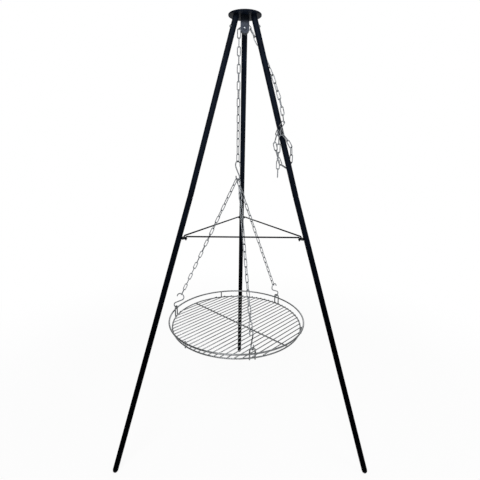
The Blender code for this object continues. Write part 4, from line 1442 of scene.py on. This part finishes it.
def hanging_frame(origin: Vector, up: Vector, towards: Vector) -> Matrix:
    """Frame of a hook: Z along its load, X in its plane.

    Args:
        origin: the hook's middle.
        up: the way that its load pulls, reversed.
        towards: a way to which its plane turns.

    Returns:
        The frame.
    """
    up = up.normalized()
    across = (towards - up * towards.dot(up)).normalized()
    frame = Matrix((across, up.cross(across), up)).transposed().to_4x4()
    frame.translation = origin
    return frame


@dataclass(frozen=True)
class Grate:
    """Round wire grate with its raised rim, on the axis of the hanging chain."""

    chain: Chain
    azimuth: float = 46.0
    rim_z: float = 0.5530
    rim_r: float = 0.3010
    rim_sides: int = 64
    rim_wire_d: float = 0.007
    ring_below: float = 0.0255
    ring_wire_d: float = 0.006
    loop_wire_d: float = 0.006
    loop_width: float = 0.022
    loop_above: float = 0.020
    bar_d: float = 0.004
    bar_spacing: float = 0.0218
    bar_sink: float = 0.0005
    bar_overhang: float = 0.0015
    brace_inset: float = 0.3       # of its ends, inside the ring's middle line, in wire diameters
    weld_size: float = 0.0042

    @property
    def centre(self) -> Vector:
        """Axis of everything that hangs on the chain."""
        return Vector((-self.chain.offset, 0.0, 0.0))

    @property
    def rim_flat_r(self) -> float:
        """Rim radius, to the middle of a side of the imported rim."""
        return self.rim_r * cos(pi / self.rim_sides)

    @property
    def weld_r(self) -> float:
        """Radius of the uprights between the two rings."""
        return self.rim_flat_r - self.rim_wire_d / 2 - GAP - self.loop_wire_d / 2

    @property
    def loop_r(self) -> float:
        """Radius of the middle of a hanging loop."""
        return sqrt(self.weld_r ** 2 - (self.loop_width / 2) ** 2)

    @property
    def ring_r(self) -> float:
        """Radius of the lower ring."""
        return self.weld_r - self.loop_wire_d / 2 - GAP - self.ring_wire_d / 2

    @property
    def ring_z(self) -> float:
        """Height of the lower ring."""
        return self.rim_z - self.ring_below

    @property
    def bars_per_side(self) -> int:
        """Bars on each side of the middle one."""
        return int((self.ring_r - 2 * self.bar_d) / self.bar_spacing)

    def bar_tree(self, material: Material) -> NodeTree:
        """Geometry Nodes tree of parallel bars, each as long as its chord of the ring.

        The tree starts from one point: the grate's middle at the height of the bars.

        Args:
            material: default of the tree's Material input.

        Returns:
            The tree.
        """
        tree, given = tree_with_inputs("grate_bars", {
            "Ring radius": self.ring_r, "Spacing": self.bar_spacing, "Bar diameter": self.bar_d,
            "Overhang": self.bar_overhang, "Bars per side": 1.0}, material)
        count = computed(tree, "MULTIPLY_ADD", given["Bars per side"], 2.0, 1.0)
        first = computed(tree, "MULTIPLY", given["Bars per side"], given["Spacing"])
        origin = outlet(tree, "ShaderNodeCombineXYZ", {"Y": computed(tree, "MULTIPLY", first, -1.0)})
        step = outlet(tree, "ShaderNodeCombineXYZ", {"Y": given["Spacing"]})
        line = outlet(tree, "GeometryNodeMeshLine", {
            "Count": count, "Start Location": origin, "Offset": step}, mode="OFFSET")
        side = outlet(tree, "ShaderNodeSeparateXYZ", {0: outlet(tree, "GeometryNodeInputPosition")}, "Y")
        whole, part = (computed(tree, "POWER", length, 2.0) for length in (given["Ring radius"], side))
        half = computed(tree, "SQRT", computed(tree, "SUBTRACT", whole, part))
        reach = computed(tree, "ADD", half, given["Overhang"])
        length = outlet(tree, "ShaderNodeCombineXYZ", {"X": reach, "Y": 1.0, "Z": 1.0})
        rod = add_node(tree, "GeometryNodeMeshCylinder", {
            "Vertices": 14, "Side Segments": 1, "Depth": 2.0,
            "Radius": computed(tree, "MULTIPLY", given["Bar diameter"], 0.5)})
        shaded = outlet(tree, "GeometryNodeSetShadeSmooth", {"Geometry": rod.outputs["Mesh"],
                                                             "Selection": rod.outputs["Side"]})
        lying = outlet(tree, "GeometryNodeTransform", {"Geometry": shaded, "Rotation": (0.0, pi / 2, 0.0)})
        bars = with_run(tree, instanced(tree, line, lying, Scale=length))
        return close_tree(tree, given, instanced(tree, given["Geometry"], bars,
                                                 Rotation=(0.0, 0.0, radians(self.azimuth))))

    def bars(self, tree: NodeTree) -> Mesh:
        """The parallel bars on the lower ring.

        Args:
            tree: the tree that makes bars.

        Returns:
            The mesh in its place.
        """
        height = self.ring_z + self.ring_wire_d / 2 + self.bar_d / 2 - self.bar_sink
        return evaluated(tree, points_of([self.centre + UP * height]),
                         {"Bars per side": float(self.bars_per_side)})

    def brace(self) -> Mesh:
        """Wire across the lower ring under the bars, square to them.

        Returns:
            The mesh in its place.
        """
        middle = self.centre + UP * self.ring_z
        reach = turn(self.azimuth + 90.0, self.ring_r - self.ring_wire_d * self.brace_inset)
        return swept([middle - reach + reach * (i / 20) for i in range(41)], self.ring_wire_d, 18)

    def loop(self, azimuth: float) -> Mesh:
        """Upside-down U between the two rings.

        Args:
            azimuth: its direction from the grate's middle, in degrees.

        Returns:
            The mesh in its place.
        """
        half, low = self.loop_width / 2, self.ring_z - self.ring_wire_d / 2
        crown = self.rim_z + self.loop_above - half
        heights = [low + (crown - low) * i / 8 for i in range(8)]
        points = [Vector((half, 0.0, z)) for z in heights] + arc(UP * crown, half, 0.0, 180.0, 24)
        points += [Vector((-half, 0.0, z)) for z in reversed(heights)]
        return moved(swept(points, self.loop_wire_d, 18),
                     stood(self.centre + turn(azimuth, self.loop_r), azimuth + 90.0))

    def spacer(self, azimuth: float) -> Mesh:
        """Short upright wire between the two rings.

        Args:
            azimuth: its direction from the grate's middle, in degrees.

        Returns:
            The mesh in its place.
        """
        inset = self.loop_wire_d / 2 * CAP_SHARE
        low, high = self.ring_z - self.ring_wire_d / 2 + inset, self.rim_z + self.rim_wire_d / 2 - inset
        points = [self.centre + turn(azimuth, self.weld_r, up=low + (high - low) * i / 8) for i in range(9)]
        return swept(points, self.loop_wire_d, 18)

    def weld_points(self) -> list[Vector]:
        """Where wires are spot-welded to each other.

        Returns:
            The places of the beads.
        """
        spots = []
        for bearing in BEARINGS:
            feet = [turn(self.azimuth + bearing, self.loop_r, side * self.loop_width / 2) for side in (-1, 1)]
            feet.append(turn(self.azimuth + bearing + 60.0, self.weld_r))
            for foot in feet:
                out = foot.normalized() * (self.loop_wire_d / 2)
                spots += [foot - out + UP * self.ring_z, foot + out + UP * self.rim_z]
        level = self.ring_z + self.ring_wire_d / 2
        for i in range(-self.bars_per_side, self.bars_per_side + 1):
            y = i * self.bar_spacing
            reach = sqrt(self.ring_r ** 2 - y ** 2)
            spots += [turn(self.azimuth, x, y, level) for x in (-reach, 0.0, reach)]
        return [self.centre + spot for spot in spots]

    def weld_tree(self, material: Material) -> NodeTree:
        """Geometry Nodes tree that sets a small bead of weld on each point, turned at random.

        Args:
            material: default of the tree's Material input.

        Returns:
            The tree.
        """
        tree, given = tree_with_inputs("weld_beads", {"Bead size": self.weld_size}, material)
        ball = outlet(tree, "GeometryNodeMeshIcoSphere", {"Radius": 0.5, "Subdivisions": 2})
        smooth = outlet(tree, "GeometryNodeSetShadeSmooth", {"Geometry": ball})
        spin, squash = (outlet(tree, "FunctionNodeRandomValue", {"Min": low, "Max": high, "Seed": seed},
                               data_type="FLOAT_VECTOR")
                        for low, high, seed in (((-0.5, -0.5, 0.0), (0.5, 0.5, 6.28), 11),
                                                ((0.85, 0.75, 0.45), (1.15, 0.95, 0.60), 23)))
        turned = outlet(tree, "FunctionNodeEulerToRotation", {0: spin})
        beads = instanced(tree, given["Geometry"], smooth, Rotation=turned,
                          Scale=scaled(tree, squash, given["Bead size"]))
        return close_tree(tree, given, with_run(tree, beads))

    def build(self, shop: Workshop) -> None:
        """Makes the grate's pieces.

        Args:
            shop: the workshop that finishes the pieces.
        """
        steel = shop.materials[Slot.STAINLESS]
        rings = [swept(level_ring(self.centre + UP * z, radius, 160), wire_d, sides, closed=True)
                 for z, radius, wire_d, sides in ((self.rim_z, self.rim_flat_r, self.rim_wire_d, 20),
                                                  (self.ring_z, self.ring_r, self.ring_wire_d, 18))]
        welds = evaluated(self.weld_tree(steel), points_of(self.weld_points()))
        for name, mesh, node in (("rim", rings[0], "grate_rim"), ("lower_ring", rings[1], "grate_grid"),
                                 ("brace", self.brace(), "grate_grid"),
                                 ("bars", self.bars(self.bar_tree(steel)), "grate_grid"),
                                 ("grate_welds", welds, None)):
            shop.finish(name, mesh, Slot.STAINLESS, node, "hanging_gear")


@dataclass(frozen=True)
class HangingGear:
    """Hoist chain, main hook, and the three chains and hooks that carry the grate."""

    head: Head
    chain: Chain
    hook: Hook
    grate: Grate
    main_hook_top_z: float = 1.251
    main_hook_azimuth: float = 124.0
    front_twist: float = -33.0    # of the front hook about its chain
    spread_angle: float = 40.0

    def main_frame(self) -> Matrix:
        """The main hook hangs plumb under the chain."""
        middle_z = self.main_hook_top_z - self.hook.wire_d / 2 - self.hook.top_r - self.hook.centres / 2
        return hanging_frame(self.grate.centre + UP * middle_z, UP, turn(self.main_hook_azimuth))

    def hoist_links(self) -> list[Link]:
        """Taut run from the sheave to the main hook.

        Returns:
            The links in order; the first two are those that it swings on.
        """
        start = self.grate.centre + UP * self.head.axle_z
        end = self.main_frame() @ (UP * self.hook.top_seat)
        joints, broad = self.chain.straight_joints(start, end), Vector((1.0, 0.0, 0.0))
        taut = self.chain.run(joints[2:], broad, turn(self.main_hook_azimuth + 90.0), end_bears=True)
        return self.chain.run(joints[:3], broad) + taut

    def hangers(self) -> Iterable[tuple[str, float, Matrix, list[Link]]]:
        """Each hanger's name, its loop's azimuth, its hook's frame and its links.

        Returns:
            Those four of each hanger in turn.
        """
        main, hook, grate = self.main_frame(), self.hook, self.grate
        for name, bearing, place, twist in (("right", BEARINGS[0], 0, 0.0), ("left", BEARINGS[1], 1, 0.0),
                                            ("front", BEARINGS[2], -1, self.front_twist)):
            azimuth, lean = grate.azimuth + bearing, radians(place * self.spread_angle)
            facing = azimuth + twist
            held = main @ (Vector((sin(lean), 0.0, -cos(lean))) * hook.bottom_r - UP * (hook.centres / 2))
            wire_run = (main.to_3x3() @ Vector((cos(lean), 0.0, sin(lean)))).normalized()
            loop_top = grate.centre + turn(azimuth, grate.loop_r, up=grate.rim_z + grate.loop_above)
            up = (held - loop_top).normalized()
            start = held + up * hook.seat
            rest = hook.bottom_r - hook.wire_d / 2 - grate.loop_wire_d / 2 - GAP + hook.centres / 2
            frame = hanging_frame(loop_top + up * rest, up, turn(facing, -1.0))
            end = frame @ (UP * hook.top_seat)
            yield name, azimuth, frame, self.chain.run(
                self.chain.straight_joints(start, end), (end - start).cross(wire_run), turn(facing + 90.0),
                start_bears=True, end_bears=True)

    def build(self, shop: Workshop, tree: NodeTree) -> None:
        """Makes the hoist's links, the hooks, the hanger chains, the loops and the spacers.

        Args:
            shop: the workshop that finishes the pieces.
            tree: the tree that makes links.
        """
        hoist = self.hoist_links()
        for name, links, node, body in (("swing_link", hoist[:1], "top_link", "upper_link"),
                                        ("swing_link_second", hoist[1:2], "second_link", "lower_link"),
                                        ("hoist_links", hoist[2:], "hoist_chain", "hoist_run")):
            shop.finish(name, self.chain.mesh(tree, links), Slot.ZINC, node, body)
        # The chain that comes over the sheave as the grate goes down; at rest it hides in the links above
        paid_out = hoist[2:2 + self.chain.hoist_links_paid_out]
        shop.finish("paid_out_links", self.chain.mesh(tree, paid_out, self.chain.paid_out_thinner), Slot.ZINC,
                    body="lower_link")
        shop.finish("load_hook", self.hook.mesh(self.main_frame()), Slot.ZINC, "main_hook", "hanging_gear")
        for name, azimuth, frame, links in self.hangers():
            for label, mesh, slot, node in (
                    ("hanger_links_", self.chain.mesh(tree, links), Slot.ZINC, "hanger_chain_"),
                    ("hook_", self.hook.mesh(frame), Slot.ZINC, "grate_hook_"),
                    ("loop_", self.grate.loop(azimuth), Slot.STAINLESS, "hanging_loop_"),
                    ("spacer_", self.grate.spacer(azimuth + 60.0), Slot.STAINLESS, "rim_spacer_")):
                shop.finish(label + name, mesh, slot, node + name, "hanging_gear")


@dataclass(frozen=True)
class Studio:
    """Pale floor, soft light and the camera at the photograph's viewing angle."""

    camera_at: tuple[float, float, float] = (-0.0235, -1.654, 1.330)
    heading: float = 0.0095      # radians to the right of +Y
    dip: float = 0.2675          # radians below level
    roll: float = 0.0110
    focal_px: float = 364.26     # in the photograph's 480 pixels
    frame_px: float = 480.0
    sensor_mm: float = 36.0
    view_end: float = 200.0
    floor_radius: float = 40.0
    floor_drop: float = 0.0005
    floor_colour: str = "#FAFAFA"
    floor_roughness: float = 0.9
    shadow_radii: Pair = (0.88, 2.2)     # where the shadow begins to fade and where the floor is white
    shadow_share: float = 0.09
    fill_strength: float = 0.34
    card_edges: Pair = (0.45, 0.80)      # sines of the angles where a side card begins and is full
    card_level: float = 0.08
    ceiling_edges: Pair = (0.35, 0.80)   # the same for the ceiling
    ceiling_level: float = 0.45
    lamp_aim: tuple[float, float, float] = (0.0, 0.0, 1.1)

    def camera(self) -> None:
        """Sets the camera."""
        forward = turn(90.0 - degrees(self.heading), cos(self.dip), up=-sin(self.dip))
        level = turn(-degrees(self.heading))
        upright = level.cross(forward)
        right = level * cos(self.roll) + upright * sin(self.roll)
        up = upright * cos(self.roll) - level * sin(self.roll)
        lens = bpy.data.cameras.new("camera")
        lens.sensor_width = self.sensor_mm
        lens.lens = self.focal_px / self.frame_px * self.sensor_mm
        lens.clip_end = self.view_end
        made = staged("camera", lens)
        made.matrix_world = Matrix((right, up, -forward)).transposed().to_4x4()
        made.matrix_world.translation = Vector(self.camera_at)
        bpy.context.scene.camera = made

    def seen(self, tree: NodeTree, *rays: str) -> NodeSocket:
        """1 for rays of these kinds and for those through glass: they show the background itself.

        Args:
            tree: the shader's tree.
            *rays: outputs of the light path node.

        Returns:
            1 for these rays, 0 for others.
        """
        path = add_node(tree, "ShaderNodeLightPath").outputs
        result = path["Is Transmission Ray"]
        for ray in rays:
            result = computed(tree, "MAXIMUM", result, path[ray])
        return result

    def cards(self, tree: NodeTree) -> NodeSocket:
        """What metal sees round it: white before and behind, a dark card at each side, a dim ceiling.

        Args:
            tree: the world's tree.

        Returns:
            Strength of the light from each way.
        """
        way = outlet(tree, "ShaderNodeTexCoord", out="Generated")
        axes = add_node(tree, "ShaderNodeSeparateXYZ", {0: way})
        sides = ranged(tree, computed(tree, "ABSOLUTE", axes.outputs["X"]), self.card_edges,
                       (1.0, self.card_level))
        ceiling = ranged(tree, axes.outputs["Z"], self.ceiling_edges, (1.0, self.ceiling_level))
        return computed(tree, "MULTIPLY", sides, ceiling)

    def world(self) -> None:
        """White backdrop, with a softer fill for what it lights and cards for what mirrors it."""
        world = bpy.data.worlds.new("white_studio")
        world.use_nodes = True
        bpy.context.scene.world = world
        tree = world.node_tree
        mirror = outlet(tree, "ShaderNodeLightPath", out="Is Glossy Ray")
        mirrored = outlet(tree, "ShaderNodeMix", {"Factor": mirror, "A": self.fill_strength,
                                                  "B": self.cards(tree)})
        strength = outlet(tree, "ShaderNodeMix", {"Factor": self.seen(tree, "Is Camera Ray"), "A": mirrored,
                                                  "B": 1.0})
        feed(tree, tree.nodes["Background"], {"Color": WHITE, "Strength": strength})

    def floor(self) -> None:
        """Pale floor that keeps a faint shadow near the stand and runs out to white."""
        mesh = bpy.data.meshes.new("floor")
        shape = bmesh.new()
        bmesh.ops.create_circle(shape, cap_ends=True, segments=96, radius=self.floor_radius)
        shape.to_mesh(mesh)
        shape.free()
        material = bpy.data.materials.new("pale_floor")
        material.use_nodes = True
        tree = material.node_tree
        shader = tree.nodes["Principled BSDF"]
        feed(tree, shader, {"Base Color": linear(self.floor_colour), "Roughness": self.floor_roughness})
        place = outlet(tree, "ShaderNodeTexCoord", out="Object")
        far = outlet(tree, "ShaderNodeVectorMath", {0: place}, "Value", operation="LENGTH")
        near = ranged(tree, far, self.shadow_radii, (1.0 - self.shadow_share, 1.0))
        share = computed(tree, "MULTIPLY", near, self.seen(tree, "Is Camera Ray", "Is Glossy Ray"))
        glow = outlet(tree, "ShaderNodeEmission", {"Color": WHITE, "Strength": 1.0})
        mixed = outlet(tree, "ShaderNodeMixShader", {0: share, 1: shader.outputs[0], 2: glow})
        feed(tree, tree.nodes["Material Output"], {"Surface": mixed})
        mesh.materials.append(material)
        made = staged("floor", mesh)
        made.location.z = -self.floor_drop

    def lamps(self) -> None:
        """Soft lamps: a key above the camera, a fill from the right and one from behind."""
        for name, place, size, power in (("key", (-0.9, -3.6, 3.7), 2.2, 110.0),
                                         ("fill", (2.6, -2.2, 1.6), 1.8, 22.0),
                                         ("back", (0.4, 3.0, 3.0), 2.0, 30.0)):
            light = bpy.data.lights.new(name, "AREA")
            light.size, light.energy = size, power
            made = staged(name, light)
            made.location = place
            made.rotation_euler = (Vector(self.lamp_aim) - Vector(place)).to_track_quat("-Z", "Y").to_euler()

    def build(self) -> None:
        """Sets up the whole studio."""
        bpy.context.scene.view_settings.view_transform = "Standard"
        self.world()
        self.floor()
        self.lamps()
        self.camera()


def main() -> None:
    """Builds the grill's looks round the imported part."""
    logging.basicConfig(level=logging.INFO, format="%(name)s: %(message)s")
    for old in list(bpy.data.objects):
        bpy.data.objects.remove(old, do_unlink=True)
    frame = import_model()
    stand, chain = Stand(), Chain()
    head, grate = Head(stand), Grate(chain)
    shop = Workshop(Vector((0.0, stand.axis_y, 0.0)))
    link_tree = chain.link_tree(shop.materials[Slot.ZINC])
    Studio().build()
    stand.build(shop)
    head.build(shop, chain, frame["nodes"])
    FreeSide(stand, head, chain).build(shop, link_tree)
    grate.build(shop)
    HangingGear(head, chain, Hook(), grate).build(shop, link_tree)
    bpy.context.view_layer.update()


if __name__ == "__main__":
    main()
